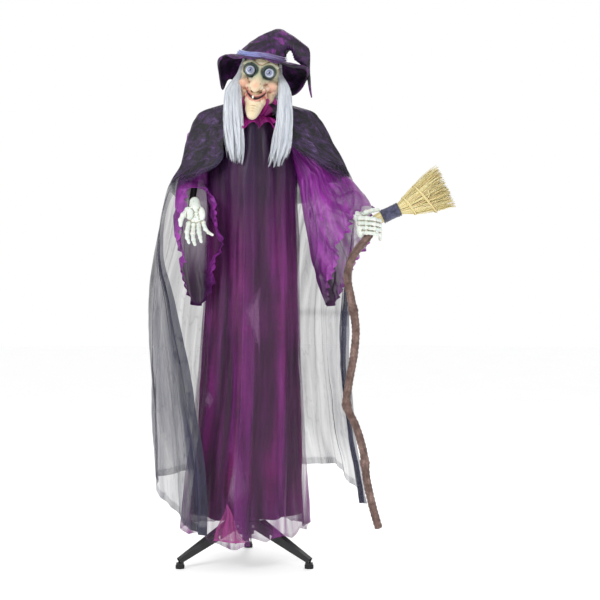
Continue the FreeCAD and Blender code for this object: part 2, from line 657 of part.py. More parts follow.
def make_hat():
    """Crown whose tip folds over to the figure's left and hangs, its band, and the drooping brim."""
    base = value("brim_up - head_up")
    route = [("crown_radius", "crown_radius - 1", hat_ring(-5, base)),
             ("crown_radius * 0.9", "crown_radius * 0.88", hat_ring(-2, base + 18)),
             ("crown_radius * 0.74", "crown_radius * 0.72", hat_ring(12, base + 42, 8)),
             ("crown_radius * 0.56", "crown_radius * 0.54", hat_ring(40, base + 64, 26)),
             ("crown_radius * 0.37", "crown_radius * 0.35", hat_ring(76, base + 70, 62)),
             ("crown_radius * 0.34", "crown_radius * 0.3", hat_ring(108, base + 54, 100)),
             ("crown_radius * 0.26", "crown_radius * 0.22", hat_ring(138, base + 18, 142)),
             ("crown_radius * 0.1", "crown_radius * 0.09", hat_ring(160, base - 20, 165)),
             ("crown_radius * 0.04", "crown_radius * 0.035", hat_ring(182, base - 98, 172))]
    hollow = [(f"{half_x} - crown_wall", f"{half_y} - crown_wall", place)
              for half_x, half_y, place in route[:3]]
    under = (*hollow[0][:2], hollow[0][2] * moved(0, 0, -1))
    shell = cut("crown_shell", loft("crown_skin", route[:4]), loft("crown_hollow", [under] + hollow[1:]))
    node(fuse("crown_set", [shell, loft("crown_tail", route[3:])]), "hat_crown")

    inner = [("crown_radius + 0.4", "crown_radius - 0.6", hat_ring(-5, base + 0.3)),
             ("crown_radius * 0.9 + 0.4", "crown_radius * 0.88 + 0.4", hat_ring(-2, base + 18))]
    outer = [(f"{half_x} + 2", f"{half_y} + 2", place) for half_x, half_y, place in inner]
    over = (*inner[1][:2], inner[1][2] * moved(0, 0, 1))
    under = (*inner[0][:2], inner[0][2] * moved(0, 0, -1))
    node(cut("band_shell", loft("band_skin", outer), loft("band_hollow", [under, inner[0], inner[1], over])),
         "hat_band")

    drop = value("brim_drop")
    cone = [("brim_radius", "brim_radius * 0.9", hat_ring(8, base - drop)),
            ("crown_radius + 10", "crown_radius + 9", hat_ring(-5, base - 0.3))]
    below = [(half_x, half_y, place * moved(0, 0, -value("brim_wall")))
             for half_x, half_y, place in cone]
    opening = loft("brim_opening", [("crown_radius - 2", "crown_radius - 3", hat_ring(-5, base - drop - 10)),
                                    ("crown_radius - 2", "crown_radius - 3", hat_ring(-5, base + 5))])
    hollows = fuse("brim_hollows", [loft("brim_below", below), opening])
    node(cut("brim_shell", loft("brim_cone", cone), hollows), "hat_brim")


# --------------------------------------------------------------------------- arms
def arm_lines(side):
    """Shoulder, elbow and wrist, the two arm directions and the elbow's axis."""
    shoulder, elbow, wrist = (point(f"{side}_{joint}") for joint in ("shoulder", "elbow", "wrist"))
    upper = (elbow - shoulder).normalize()
    fore = (wrist - elbow).normalize()
    axis = upper.cross(fore).normalize()
    return shoulder, elbow, wrist, upper, fore, axis


def along(spot, direction, axis, shift=0.0):
    """Placement at a spot with +Z along a direction and +X along the elbow's axis."""
    turn = Rotation(axis, Vector(), direction, "ZXY")
    return Placement(spot, turn) * moved(0, 0, shift)


def make_arm(side):
    shoulder, elbow, wrist, upper, fore, axis = arm_lines(side)
    ring_place = aim(ACROSS, shoulder - ACROSS * (value("eye_ring_width") / 2))
    ring = cylinder(f"{side}_ring", "eye_ring_radius", "eye_ring_width", ring_place)
    ring_bore = cylinder(f"{side}_ring_bore", "bar_radius + fit_gap", "eye_ring_width", ring_place)
    bar_length = f"{distance(side + '_shoulder', side + '_elbow')} - 40"
    bar = cylinder(f"{side}_bar", "arm_radius", bar_length, along(shoulder, upper, axis, 14))
    tongue = block(f"{side}_tongue", "tongue_thick", "2 * elbow_radius - 6", "30",
                   along(elbow, upper, axis, -30))
    across = along(elbow, upper, axis) * aim(ACROSS)
    half = value("tongue_thick / 2")
    disc = cylinder(f"{side}_disc", "elbow_radius - 3", "tongue_thick",
                    across * moved(0, 0, -half))
    span = value("tongue_thick / 2 + ear_gap + ear_thick") + 1
    pin_place = across * moved(0, 0, -span)
    drilled = cut(f"{side}_upper_bored", fuse(f"{side}_upper_set", [ring, bar, tongue, disc]), ring_bore)
    pin = [cylinder(f"{side}_pin", "elbow_pin_radius", str(2 * span), pin_place)]
    for number, shift in enumerate((-2, 2 * span)):
        head = pin_place * moved(0, 0, shift)
        pin.append(cylinder(f"{side}_pin_head{number}", "elbow_pin_radius + 2.5", "2", head))
    node(fuse(f"{side}_upper_pinned", [drilled] + pin), f"upper_arm_{side}")

    ears = []
    for number, sign in enumerate((-1, 1)):
        shift = moved(sign * value("(tongue_thick + ear_thick) / 2 + ear_gap"), 0, 0)
        ears.append(block(f"{side}_ear{number}", "ear_thick", "2 * elbow_radius - 6", "28",
                          along(elbow, fore, axis) * shift))
        ears.append(cylinder(f"{side}_ear_disc{number}", "elbow_radius - 3", "ear_thick",
                             along(elbow, fore, axis) * shift * aim(ACROSS)
                             * moved(0, 0, -value("ear_thick / 2"))))
    bridge = cylinder(f"{side}_bridge", "arm_radius", "12", along(elbow, fore, axis, 24))
    tube_length = f"{distance(side + '_elbow', side + '_wrist')} - 35"
    fore_bar = cylinder(f"{side}_fore_bar", "forearm_radius", tube_length, along(elbow, fore, axis, 34))
    socket = cylinder(f"{side}_socket", "forearm_radius - arm_wall + 0.05", "stub_length + 4",
                      along(wrist, fore, axis, -value("stub_length + 3")))
    room = cylinder(f"{side}_ear_bore", "elbow_pin_radius + fit_gap", str(2 * span), pin_place)
    solid = fuse(f"{side}_fore_set", ears + [bridge, fore_bar])
    node(cut(f"{side}_fore_bored", solid, fuse(f"{side}_fore_bores", [socket, room])), f"forearm_{side}")


def wrist_stub(side):
    wrist, fore, axis = (arm_lines(side)[number] for number in (2, 4, 5))
    stub = cylinder(f"{side}_stub", "forearm_radius - arm_wall", "stub_length + 6",
                    along(wrist, fore, axis, -value("stub_length")))
    cuff = cylinder(f"{side}_cuff", "forearm_radius + 4", "12", along(wrist, fore, axis, 0.4))
    return [stub, cuff]


def rod(name, radius, start, end):
    """Round-ended rod between two spots."""
    shaft = cylinder(name + "_shaft", radius, str((end - start).Length), aim(end - start, start))
    return [shaft, ball(name + "_end", radius, end)]


def make_right_hand():
    """Open hand hanging from the wrist with its fingers curled forward."""
    wrist = point("right_wrist")
    palm = block("right_palm", "64", "24", "74", Placement(wrist + Vector(6, -16, -76), Rotation()))
    pieces = wrist_stub("right") + [palm]
    for number in range(4):
        knuckle = wrist + Vector(-17.5 + 16 * number, -17, -69.5)
        middle = knuckle + Vector(0.6 * number - 1, -12, -34 - number)
        pieces += [ball(f"right_knuckle{number}", "finger_radius + 0.8", knuckle)]
        pieces += rod(f"right_finger{number}", "finger_radius", knuckle, middle)
        pieces += rod(f"right_tip{number}", "finger_radius - 1", middle, middle + Vector(2, 6, -24))
    base = wrist + Vector(-22, -18, -20)
    pieces += rod("right_thumb", "finger_radius", base, base + Vector(-22, -10, -40))
    node(fuse("right_hand_set", pieces), "hand_right")


def make_left_hand():
    """Fist closed around the broom's handle."""
    grip = point("left_grip")
    palm = block("left_palm", "64", "40", "62", Placement(grip + Vector(-18, 4, -24), Rotation()))
    pieces = wrist_stub("left") + [palm]
    for number in range(4):
        start = grip + Vector(-44, -22, 30 - 16 * number)
        pieces += [ball(f"left_knuckle{number}", "finger_radius + 0.8", start)]
        pieces += rod(f"left_finger{number}", "finger_radius", start, start + Vector(52, 0, -4))
    pieces += rod("left_thumb", "finger_radius", grip + Vector(-40, 10, 34), grip + Vector(-4, -6, 46))
    straw_line = aim(point("broom_end") - point("broom_band"), straw_start())
    straw_room = cylinder("left_straw_room", "straw_radius + 0.4", "60", straw_line)
    room = fuse("left_grip_room", handle_rods("grip_room", "handle_radius + 0.4") + [straw_room])
    node(cut("left_hand_open", fuse("left_hand_set", pieces), room), "hand_left")


# --------------------------------------------------------------------------- broom
def handle_route():
    """The crooked handle from its straw end down, in the broom's upright plane."""
    depth = value("broom_neck_y")
    bends = ((411, 1108), (358, 1038), (340, 981), (351, 903), (367, 797), (362, 726), (344, 620), (337, 556),
             (369, 478), (390, 407), (404, 301), (425, 209), (443, 146))
    return [point("broom_neck")] + [Vector(out, depth, height) for out, height in bends]


def straw_start():
    """Where the bound straw begins, below the collar."""
    band, end = (point(f"broom_{name}") for name in ("band", "end"))
    return band - (end - band).normalize() * value("broom_collar_length / 2 + 18")


def handle_rods(name, radius):
    route = handle_route()
    pieces = []
    for number, (start, end) in enumerate(zip(route, route[1:])):
        pieces += rod(f"{name}{number}", radius, start, end)
    return pieces


def make_broom():
    node(fuse("handle_set", handle_rods("handle", "handle_radius")), "broom_handle")

    band, end = (point(f"broom_{name}") for name in ("band", "end"))
    line = (end - band).normalize()

    def straw_ring(spot, half_x, half_y, lean=0.0):
        turn = Rotation(FRONT, Vector(), line, "ZYX")
        return half_x, half_y, Placement(spot, turn) * Placement(ORIGIN, Rotation(Vector(0, 1, 0), lean))

    collar_half = value("broom_collar_length / 2")
    start = straw_start()
    fan = [straw_ring(start, "straw_radius", "straw_radius - 0.01"),
           straw_ring(band + line * collar_half, "straw_radius", "straw_radius - 0.01"),
           straw_ring(band + line * (collar_half + 40), "fan_half_width * 0.55", "fan_half_depth * 0.8"),
           straw_ring(end, "fan_half_width", "fan_half_depth")]
    fan = [(half_x, half_y, place * Placement(ORIGIN, Rotation(UP, 90))) for half_x, half_y, place in fan]
    room = fuse("straw_handle_room", handle_rods("straw_room", "handle_radius + 0.3")[:4])
    node(cut("straw", loft("straw_skin", fan), room), "broom_bristles")

    collar_place = aim(line, band - line * collar_half)
    node(tube("broom_band", "broom_collar_radius", "straw_radius + 0.3", "broom_collar_length", collar_place),
         "broom_collar")

    ties = []
    reach = (end - band).Length - collar_half - 40
    for number, share in enumerate((0.12, 0.5)):
        wide, narrow = [], []
        for shift, overrun in ((0, -0.5), (value("tie_width"), 0.5)):
            along_fan = share + shift / reach
            width = value("fan_half_width") * (0.55 + 0.45 * along_fan)
            depth = value("fan_half_depth") * (0.8 + 0.2 * along_fan)
            spot = band + line * (collar_half + 40 + reach * along_fan)
            place = straw_ring(spot, "", "")[2] * Placement(ORIGIN, Rotation(UP, 90))
            wide.append((f"{width} + tie_rise", f"{depth} + tie_rise", place))
            narrow.append((f"{width + overrun * 0.2} + 0.3", f"{depth + overrun * 0.2} + 0.3",
                           place * moved(0, 0, overrun)))
        ties.append(cut(f"tie{number}", loft(f"tie{number}_skin", wide), loft(f"tie{number}_hollow", narrow)))
    node(fuse("ties", ties), "broom_ties")


# --------------------------------------------------------------------------- clothes
def make_sleeves(side):
    """Upper sleeve around the arm, and the bell with its long hanging point."""
    shoulder, elbow, wrist, upper, fore, axis = arm_lines(side)
    length = (elbow - shoulder).Length
    rings = [("sleeve_top_radius - 9", "sleeve_top_radius - 10", along(shoulder, upper, axis, -20)),
             ("sleeve_top_radius", "sleeve_top_radius - 1", along(shoulder, upper, axis, 10)),
             ("sleeve_low_radius", "sleeve_low_radius - 1", along(shoulder, upper, axis, length - 58))]
    skin = shell_loft(f"{side}_upper_sleeve", rings, "cloth")
    inward = ACROSS if side == "right" else -ACROSS
    bar_room = cylinder(f"{side}_sleeve_bar_room", "bar_radius + 1", "60", aim(inward, shoulder))
    node(cut(f"{side}_upper_sleeve_bored", skin, bar_room), f"sleeve_upper_{side}")

    length = (wrist - elbow).Length
    rings = [("sleeve_low_radius - 4", "sleeve_low_radius - 5", along(elbow, fore, axis, -34)),
             ("sleeve_low_radius - 1", "sleeve_low_radius - 2", along(elbow, fore, axis, 40)),
             ("sleeve_low_radius + 12", "sleeve_low_radius + 8", along(elbow, fore, axis, length - 12))]
    skin = loft(f"{side}_bell_skin", rings)
    inner = [(f"{half_x} - cloth", f"{half_y} - cloth", place) for half_x, half_y, place in rings]
    inner[0] = (*inner[0][:2], inner[0][2] * moved(0, 0, -1))
    inner[2] = (*inner[2][:2], inner[2][2] * moved(0, 0, 1))
    hollow = loft(f"{side}_bell_hollow", inner)
    middle = elbow + fore * (length * 0.58)
    heading = Rotation(UP, math.degrees(math.atan2(fore.y, fore.x)))
    reach = str(min(70.0, length * 0.3))
    drop = loft(f"{side}_bell_drop", [
        (reach, "11", Placement(Vector(middle.x, middle.y, middle.z - 24), heading)),
        ("34", "9", Placement(Vector(middle.x, middle.y, 1020), heading)),
        ("6", "4", Placement(Vector(middle.x, middle.y, 868), heading))])
    arm_room = cylinder(f"{side}_bell_arm_room", "arm_radius + 3", "70", along(elbow, upper, axis, -70))
    whole = fuse(f"{side}_bell_set", [skin, drop])
    rooms = fuse(f"{side}_bell_rooms", [hollow, arm_room])
    node(cut(f"{side}_bell_open", whole, rooms), f"sleeve_bell_{side}")


def make_robe():
    bodice = [("150", "118", level("bodice_low")), ("150", "112", level("bodice_low + 114")),
              ("137", "100", level("torso_waist + 50")), ("131", "91", level("torso_chest")),
              ("87", "78", level("torso_top - 8"))]
    skin = shell_loft("bodice", bodice, "cloth")
    bar_room = cylinder("bodice_bar_room", "bar_radius + 1.5", distance("right_shoulder", "left_shoulder"),
                        aim(ACROSS, point("right_shoulder")))
    node(cut("bodice_bored", skin, bar_room), "dress_bodice")
    skirt = [("198", "176", level("skirt_low", "0")), ("178", "152", level("skirt_high / 2 + 60", "12")),
             ("158", "126", level("skirt_high"))]
    node(shell_loft("skirt", skirt, "cloth"), "dress_skirt")

    ruff = doc.addObject("Part::Torus", "ruff_ring")
    bind(ruff, Radius1="ruff_radius", Radius2="ruff_thick")
    ruff.Placement.Base = Vector(value("neck_out"), value("neck_front"), value("ruff_up"))
    node(ruff, "neck_ruff")


def make_cape():
    """Shell over the shoulders and down the back, open at the front for the arms."""
    rings = [("372", "190", level("290", "50")), ("345", "178", level("900", "30")),
             ("292", "168", level("1200", "28")), ("262", "150", level("1330", "26")),
             ("234", "134", level("1400", "24")), ("190", "108", level("1474", "22")),
             ("102", "92", level("1492", "20"))]
    skin = shell_loft("cape_whole", rings, "cloth")
    low_front = block("cape_low_front", "1000", "600", "1330", moved(0, 45 - 300, 0))
    high_front = block("cape_high_front", "1000", "600", "400", moved(0, -62 - 300, 1300))
    node(cut("cape_open", skin, fuse("cape_fronts", [low_front, high_front])), "cape")


# --------------------------------------------------------------------------- run
def check_and_export():
    doc.recompute()
    broken = [thing.Name for thing in doc.Objects if {"Invalid", "Error"} & set(thing.State)]
    for part in nodes:
        if part.Shape.isNull() or not part.Shape.isValid():
            broken.append(part.Label)
    if broken:
        raise ValueError(f"failed: {broken}")
    os.makedirs("parts", exist_ok=True)
    for part in nodes:
        part.Shape.exportStep(f"parts/{part.Label}.step")


fill_sheet()
make_hub()
make_clamp_knob()
for name, azimuth in (("front_left", -30), ("front_right", 210), ("rear", 90)):
    make_leg(f"leg_{name}", azimuth)
    make_foot_pad(f"foot_pad_{name}", azimuth)
make_leg_pins()
make_poles()
make_battery_box()
make_waist_drive()
make_torso()
make_neck()
make_head()
make_hair()
make_hat()
for side in ("left", "right"):
    make_arm(side)
    make_sleeves(side)
make_right_hand()
make_left_hand()
make_broom()
make_robe()
make_cape()
check_and_export()
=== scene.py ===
import json
import math

import bmesh
import bpy
import numpy as np
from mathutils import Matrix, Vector


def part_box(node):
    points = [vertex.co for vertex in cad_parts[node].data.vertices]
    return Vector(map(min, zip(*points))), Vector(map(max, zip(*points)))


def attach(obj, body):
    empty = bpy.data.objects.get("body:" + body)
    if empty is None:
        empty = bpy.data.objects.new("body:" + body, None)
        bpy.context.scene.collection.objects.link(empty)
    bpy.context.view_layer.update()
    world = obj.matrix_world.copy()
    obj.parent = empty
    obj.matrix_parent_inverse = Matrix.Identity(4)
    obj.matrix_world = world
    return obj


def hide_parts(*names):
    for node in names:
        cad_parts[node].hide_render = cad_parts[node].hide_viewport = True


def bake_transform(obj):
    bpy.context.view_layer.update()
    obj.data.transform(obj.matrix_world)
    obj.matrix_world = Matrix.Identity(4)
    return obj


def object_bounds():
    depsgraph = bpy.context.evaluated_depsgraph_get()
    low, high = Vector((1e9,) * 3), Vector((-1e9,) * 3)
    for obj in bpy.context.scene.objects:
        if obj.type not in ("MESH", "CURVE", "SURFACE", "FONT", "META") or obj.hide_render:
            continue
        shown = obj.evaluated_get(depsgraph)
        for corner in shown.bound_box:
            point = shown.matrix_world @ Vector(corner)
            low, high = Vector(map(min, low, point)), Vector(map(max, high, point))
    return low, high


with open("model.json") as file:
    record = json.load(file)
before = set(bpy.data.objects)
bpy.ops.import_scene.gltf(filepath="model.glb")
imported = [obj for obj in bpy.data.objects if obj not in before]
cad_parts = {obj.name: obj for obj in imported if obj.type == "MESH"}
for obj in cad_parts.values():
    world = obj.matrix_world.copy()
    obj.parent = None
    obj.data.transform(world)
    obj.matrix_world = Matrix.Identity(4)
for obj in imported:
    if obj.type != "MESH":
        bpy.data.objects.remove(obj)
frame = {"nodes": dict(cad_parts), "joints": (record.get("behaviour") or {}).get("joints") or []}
cad_low, cad_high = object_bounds()
JOINTS = {joint["name"]: joint for joint in frame["joints"]}
MM = 0.001
TURN = 2 * math.pi


# --------------------------------------------------------------------------- numbers
def mm(*numbers):
    """A place or size given in millimetres, in metres."""
    return np.array(numbers, float) * MM


def mix(low, high, share):
    return low + (high - low) * share


def ease(low, high, number):
    """0 below low, 1 above high, and a soft step between them."""
    share = np.clip((number - low) / (high - low), 0, 1)
    return share * share * (3 - 2 * share)


def bell(distance, width):
    return np.exp(-((distance / width) ** 2))


def follow(keys, rows, at):
    """A smooth curve through the rows at the keys, read at other places."""
    keys, rows, at = (np.asarray(item, float) for item in (keys, rows, at))
    slope = np.gradient(rows, keys, axis=0)
    at = np.clip(at, keys[0], keys[-1])
    spot = np.clip(np.searchsorted(keys, at, side="right") - 1, 0, len(keys) - 2)
    span = keys[spot + 1] - keys[spot]
    share = (at - keys[spot]) / span
    if rows.ndim > 1:
        span, share = span[..., None], share[..., None]
    return ((1 + 2 * share) * (1 - share) ** 2 * rows[spot]
            + share * (1 - share) ** 2 * span * slope[spot]
            + share ** 2 * (3 - 2 * share) * rows[spot + 1]
            + share ** 2 * (share - 1) * span * slope[spot + 1])


CELL_STEPS = (374761393, 668265263, 1442695041)  # large odd numbers that scatter neighbouring cells
SEED_STEP = 97531
SCRAMBLE = 1274126177
WORD, HALF_WORD = 0xFFFFFFFF, 0xFFFF


def lattice(cells, seed):
    """A repeatable number from -1 to 1 for each cell of a grid."""
    key = sum(cells[..., axis] * step for axis, step in enumerate(CELL_STEPS))
    key = (key + seed * SEED_STEP) & WORD
    key = ((key ^ (key >> 13)) * SCRAMBLE) & WORD
    return ((key ^ (key >> 16)) & HALF_WORD) / (HALF_WORD / 2) - 1


def cloud(points, seed=0):
    """Smooth noise from about -1 to 1 at points of any shape, in cells of size 1."""
    points = np.asarray(points, float)
    cell = np.floor(points).astype(np.int64)
    share = points - cell
    share = share * share * (3 - 2 * share)
    total = 0
    for corner in np.ndindex(2, 2, 2):
        weight = np.prod(np.where(np.array(corner), share, 1 - share), axis=-1)
        total = total + weight * lattice(cell + np.array(corner), seed)
    return total


def clouds(points, seed=0, layers=3):
    return sum(cloud(np.asarray(points) * 2 ** layer, seed + layer) / 2 ** layer
               for layer in range(layers)) / 1.6


def stack(*fields):
    return np.stack(np.broadcast_arrays(*fields), axis=-1).astype(float)


def pleats(around, along, count, seed, wander=1.0, sharp=1.6):
    """Long irregular folds from 0 to 1: around is in radians round the cloth, and along is in metres."""
    ring = stack(np.cos(around) * 1.3, np.sin(around) * 1.3, along * 0.9)
    phase = count * around + wander * 3.4 * clouds(ring, seed)
    crest = (0.5 + 0.5 * np.cos(phase)) ** sharp
    strength = 0.62 + 0.38 * cloud(ring * 1.9 + 7, seed + 9)
    return crest * np.clip(strength, 0.12, 1)


# --------------------------------------------------------------------------- meshes
def new_piece(name, points, faces, finish=None):
    """A smooth mesh object in the scene, with its material."""
    mesh = bpy.data.meshes.new(name)
    mesh.from_pydata(np.asarray(points, float).reshape(-1, 3).tolist(), [], np.asarray(faces).tolist())
    mesh.polygons.foreach_set("use_smooth", [True] * len(mesh.polygons))
    piece = bpy.data.objects.new(name, mesh)
    bpy.context.scene.collection.objects.link(piece)
    if finish:
        mesh.materials.append(finish)
    return piece


def keep(piece, name, values):
    """Store a number or a triple at each point, for the material to read."""
    values = np.asarray(values, np.float32)
    triple = values.shape[-1] == 3 and values.size == 3 * len(piece.data.vertices)
    kind, field = ("FLOAT_VECTOR", "vector") if triple else ("FLOAT", "value")
    piece.data.attributes.new(name, kind, "POINT").data.foreach_set(field, values.ravel())


def grid_faces(rows, columns, closed):
    index = np.arange(rows * columns).reshape(rows, columns)
    after = np.roll(index, -1, axis=1) if closed else index[:, 1:]
    before = index if closed else index[:, :-1]
    return np.stack([before[:-1], after[:-1], after[1:], before[1:]], axis=-1).reshape(-1, 4)


def grid(name, points, finish=None, closed=False):
    """A sheet from rows of points. It keeps its own cloth coordinates, in metres, for the weave."""
    rows, columns = points.shape[:2]
    piece = new_piece(name, points, grid_faces(rows, columns, closed), finish)
    across = np.linalg.norm(np.diff(points, axis=1), axis=-1)
    across = np.concatenate([np.zeros((rows, 1)), np.cumsum(across, axis=1)], axis=1).mean(axis=0)
    down = np.linalg.norm(np.diff(points, axis=0), axis=-1)
    down = np.concatenate([np.zeros((1, columns)), np.cumsum(down, axis=0)], axis=0).mean(axis=1)
    keep(piece, "cloth", stack(across[None, :], down[:, None], 0.0).reshape(-1, 3))
    return piece


def steepness(points, base):
    """How far the folded cloth turns away from the plain surface under it, from 0 to 1."""
    normals = [np.cross(np.gradient(field, axis=1), np.gradient(field, axis=0)) for field in (points, base)]
    normals = [field / np.maximum(np.linalg.norm(field, axis=-1, keepdims=True), 1e-12) for field in normals]
    return 1 - np.abs((normals[0] * normals[1]).sum(axis=-1))


def hung_size(piece, shape):
    """The longest row, the longest column and the area of the finished, hung surface."""
    rows, columns = shape
    points = np.array([vertex.co for vertex in piece.data.vertices]).reshape(rows, columns, 3)
    width = np.linalg.norm(np.diff(points, axis=1), axis=-1).sum(axis=1).max()
    length = np.linalg.norm(np.diff(points, axis=0), axis=-1).sum(axis=0).max()
    return float(width), float(length), float(sum(face.area for face in piece.data.polygons))


LEAST_FILL, MOST_FILL = 0.31, 0.995  # the declared area's share of width x length is held between these


def cut_sheet(piece, shape):
    """Work out the size of a sheet from its own finished surface, since its real cut isn't known; nothing
    uses the result.
    """
    width, length, area = hung_size(piece, shape)
    area = max(min(area, width * length * MOST_FILL), width * length * LEAST_FILL)


def tubes(name, lines, radii, finish, sides=5):
    """Thin round strands, all in one piece: lines is strands x points x 3, and radii strands x points."""
    lines, radii = np.asarray(lines, float), np.asarray(radii, float)
    count, points = lines.shape[:2]
    heading = np.gradient(lines, axis=1)
    heading /= np.maximum(np.linalg.norm(heading, axis=-1, keepdims=True), 1e-9)
    helper = np.where(np.abs(heading[..., 1:2]) < 0.8, np.array([[[0.0, 1.0, 0.0]]]),
                      np.array([[[1.0, 0.0, 0.0]]]))
    first = np.cross(heading, helper)
    first /= np.maximum(np.linalg.norm(first, axis=-1, keepdims=True), 1e-9)
    second = np.cross(heading, first)
    angle = np.arange(sides) * TURN / sides
    ring = (lines[:, :, None] + radii[:, :, None, None]
            * (first[:, :, None] * np.cos(angle)[:, None] + second[:, :, None] * np.sin(angle)[:, None]))
    one = grid_faces(points, sides, True)
    faces = (one[None] + (np.arange(count) * points * sides)[:, None, None]).reshape(-1, 4)
    piece = new_piece(name, ring, faces, finish)
    start = np.arange(count) * points * sides
    mesh = bmesh.new()
    mesh.from_mesh(piece.data)
    mesh.verts.ensure_lookup_table()
    for low in start:
        for ends, step in ((low, -1), (low + (points - 1) * sides, 1)):
            loop = [mesh.verts[int(ends + number)] for number in range(sides)]
            mesh.faces.new(loop[::-step]).smooth = True
    mesh.to_mesh(piece.data)
    mesh.free()
    shade = np.repeat(np.arange(count) * 0.6180339 % 1, points * sides)
    keep(piece, "strand", shade)
    keep(piece, "length", np.tile(np.repeat(np.linspace(0, 1, points), sides), count))
    return piece


def apply_modifier(piece, kind, **settings):
    modifier = piece.modifiers.new(kind.title(), kind)
    for key, value in settings.items():
        setattr(modifier, key, value)
    graph = bpy.context.evaluated_depsgraph_get()
    mesh = bpy.data.meshes.new_from_object(piece.evaluated_get(graph))
    piece.modifiers.clear()
    piece.data = mesh


def clay(name, lumps, voxel, soften, finish=None):
    """Balls of clay, as (centre, three radii), pressed into one smooth skin."""
    mesh = bmesh.new()
    for centre, radii in lumps:
        made = bmesh.ops.create_icosphere(mesh, subdivisions=3, radius=1.0)["verts"]
        for vertex in made:
            vertex.co = Vector(centre) + Vector([vertex.co[axis] * radii[axis] for axis in range(3)])
    data = bpy.data.meshes.new(name)
    mesh.to_mesh(data)
    mesh.free()
    piece = bpy.data.objects.new(name, data)
    bpy.context.scene.collection.objects.link(piece)
    apply_modifier(piece, "REMESH", mode="VOXEL", voxel_size=voxel)
    apply_modifier(piece, "SMOOTH", factor=0.5, iterations=soften)
    piece.data.polygons.foreach_set("use_smooth", [True] * len(piece.data.polygons))
    if finish:
        piece.data.materials.clear()
        piece.data.materials.append(finish)
    return piece


def rod(start, end, start_radius, end_radius, count=9):
    """Lumps of clay along a line."""
    start, end = np.asarray(start, float), np.asarray(end, float)
    return [(mix(start, end, share), [mix(start_radius, end_radius, share)] * 3)
            for share in np.linspace(0, 1, count)]


def places(piece):
    flat = np.zeros(len(piece.data.vertices) * 3)
    piece.data.vertices.foreach_get("co", flat)
    return flat.reshape(-1, 3)


def directions(piece):
    flat = np.zeros(len(piece.data.vertices) * 3)
    piece.data.vertices.foreach_get("normal", flat)
    return flat.reshape(-1, 3)


def move_to(piece, points):
    piece.data.vertices.foreach_set("co", np.asarray(points, float).ravel())
    piece.data.update()


# --------------------------------------------------------------------------- materials
def rgb(red, green, blue):
    """A screen colour from 0 to 255 as the linear colour that a shader takes."""
    return tuple(((part / 255 + 0.055) / 1.055) ** 2.4 if part > 10 else part / 3294
                 for part in (red, green, blue)) + (1.0,)


class Finish:
    """One material and the nodes in it."""

    def __init__(self, name, rough=0.5, **sockets):
        self.material = bpy.data.materials.new(name)
        self.material.use_nodes = True
        self.tree = self.material.node_tree
        self.shader = self.tree.nodes["Principled BSDF"]
        self.shader.inputs["Roughness"].default_value = rough
        for key, value in sockets.items():
            self.shader.inputs[key.replace("_", " ")].default_value = value

    def add(self, kind, output, settings=None, **inputs):
        node = self.tree.nodes.new("ShaderNode" + kind)
        for key, value in (settings or {}).items():
            setattr(node, key, value)
        for key, value in inputs.items():
            self.feed(node.inputs[int(key[1:]) if key[0] == "_" else key], value)
        return node.outputs[output]

    def feed(self, socket, source):
        if isinstance(source, bpy.types.NodeSocket):
            self.tree.links.new(source, socket)
        else:
            socket.default_value = source

    def shade(self, socket, source):
        self.feed(self.shader.inputs[socket], source)

    def place(self):
        return self.add("TexCoord", "Object")

    def kept(self, name, output="Vector"):
        return self.add("Attribute", output, {"attribute_name": name})

    def part(self, vector, axis):
        return self.add("SeparateXYZ", axis, Vector=vector)

    def scaled(self, vector, scale):
        return self.add("Mapping", "Vector", Vector=vector, Scale=scale)

    def noise(self, vector, scale, detail=3.0, rough=0.55, bend=0.0):
        return self.add("TexNoise", "Fac", Vector=vector, Scale=scale, Detail=detail, Roughness=rough,
                        Distortion=bend)

    def stripes(self, vector, scale, direction="X"):
        return self.add("TexWave", "Fac", {"bands_direction": direction}, Vector=vector, Scale=scale,
                        Distortion=0.0)

    def cells(self, vector, scale):
        return self.add("TexVoronoi", "Distance", {"feature": "DISTANCE_TO_EDGE"}, Vector=vector, Scale=scale)

    def math(self, operation, first, second=0.0):
        return self.add("Math", "Value", {"operation": operation, "use_clamp": False}, _0=first, _1=second)

    def span(self, value, low, high, to_low=0.0, to_high=1.0):
        """Value stretched from low..high to to_low..to_high, and held inside it."""
        return self.add("MapRange", "Result", {"clamp": True}, **{
            "Value": value, "_1": low, "_2": high, "_3": to_low, "_4": to_high})

    def blend(self, share, first, second):
        return self.add("Mix", 2, {"data_type": "RGBA"}, _0=share, _6=first, _7=second)

    def relief(self, height, strength=0.4, depth=0.001, under=None):
        node = self.tree.nodes.new("ShaderNodeBump")
        node.inputs["Strength"].default_value = strength
        node.inputs["Distance"].default_value = depth
        self.tree.links.new(height, node.inputs["Height"])
        if under:
            self.tree.links.new(under, node.inputs["Normal"])
        return node.outputs["Normal"]


def weave(finish, cloth, pitch):
    """Crossing threads, 0 in the gaps and 1 on the threads."""
    across = finish.stripes(cloth, 1 / pitch * 0.31416 / 2, direction="X")
    down = finish.stripes(cloth, 1 / pitch * 0.31416 / 2, direction="Y")
    return finish.math("MAXIMUM", across, down)


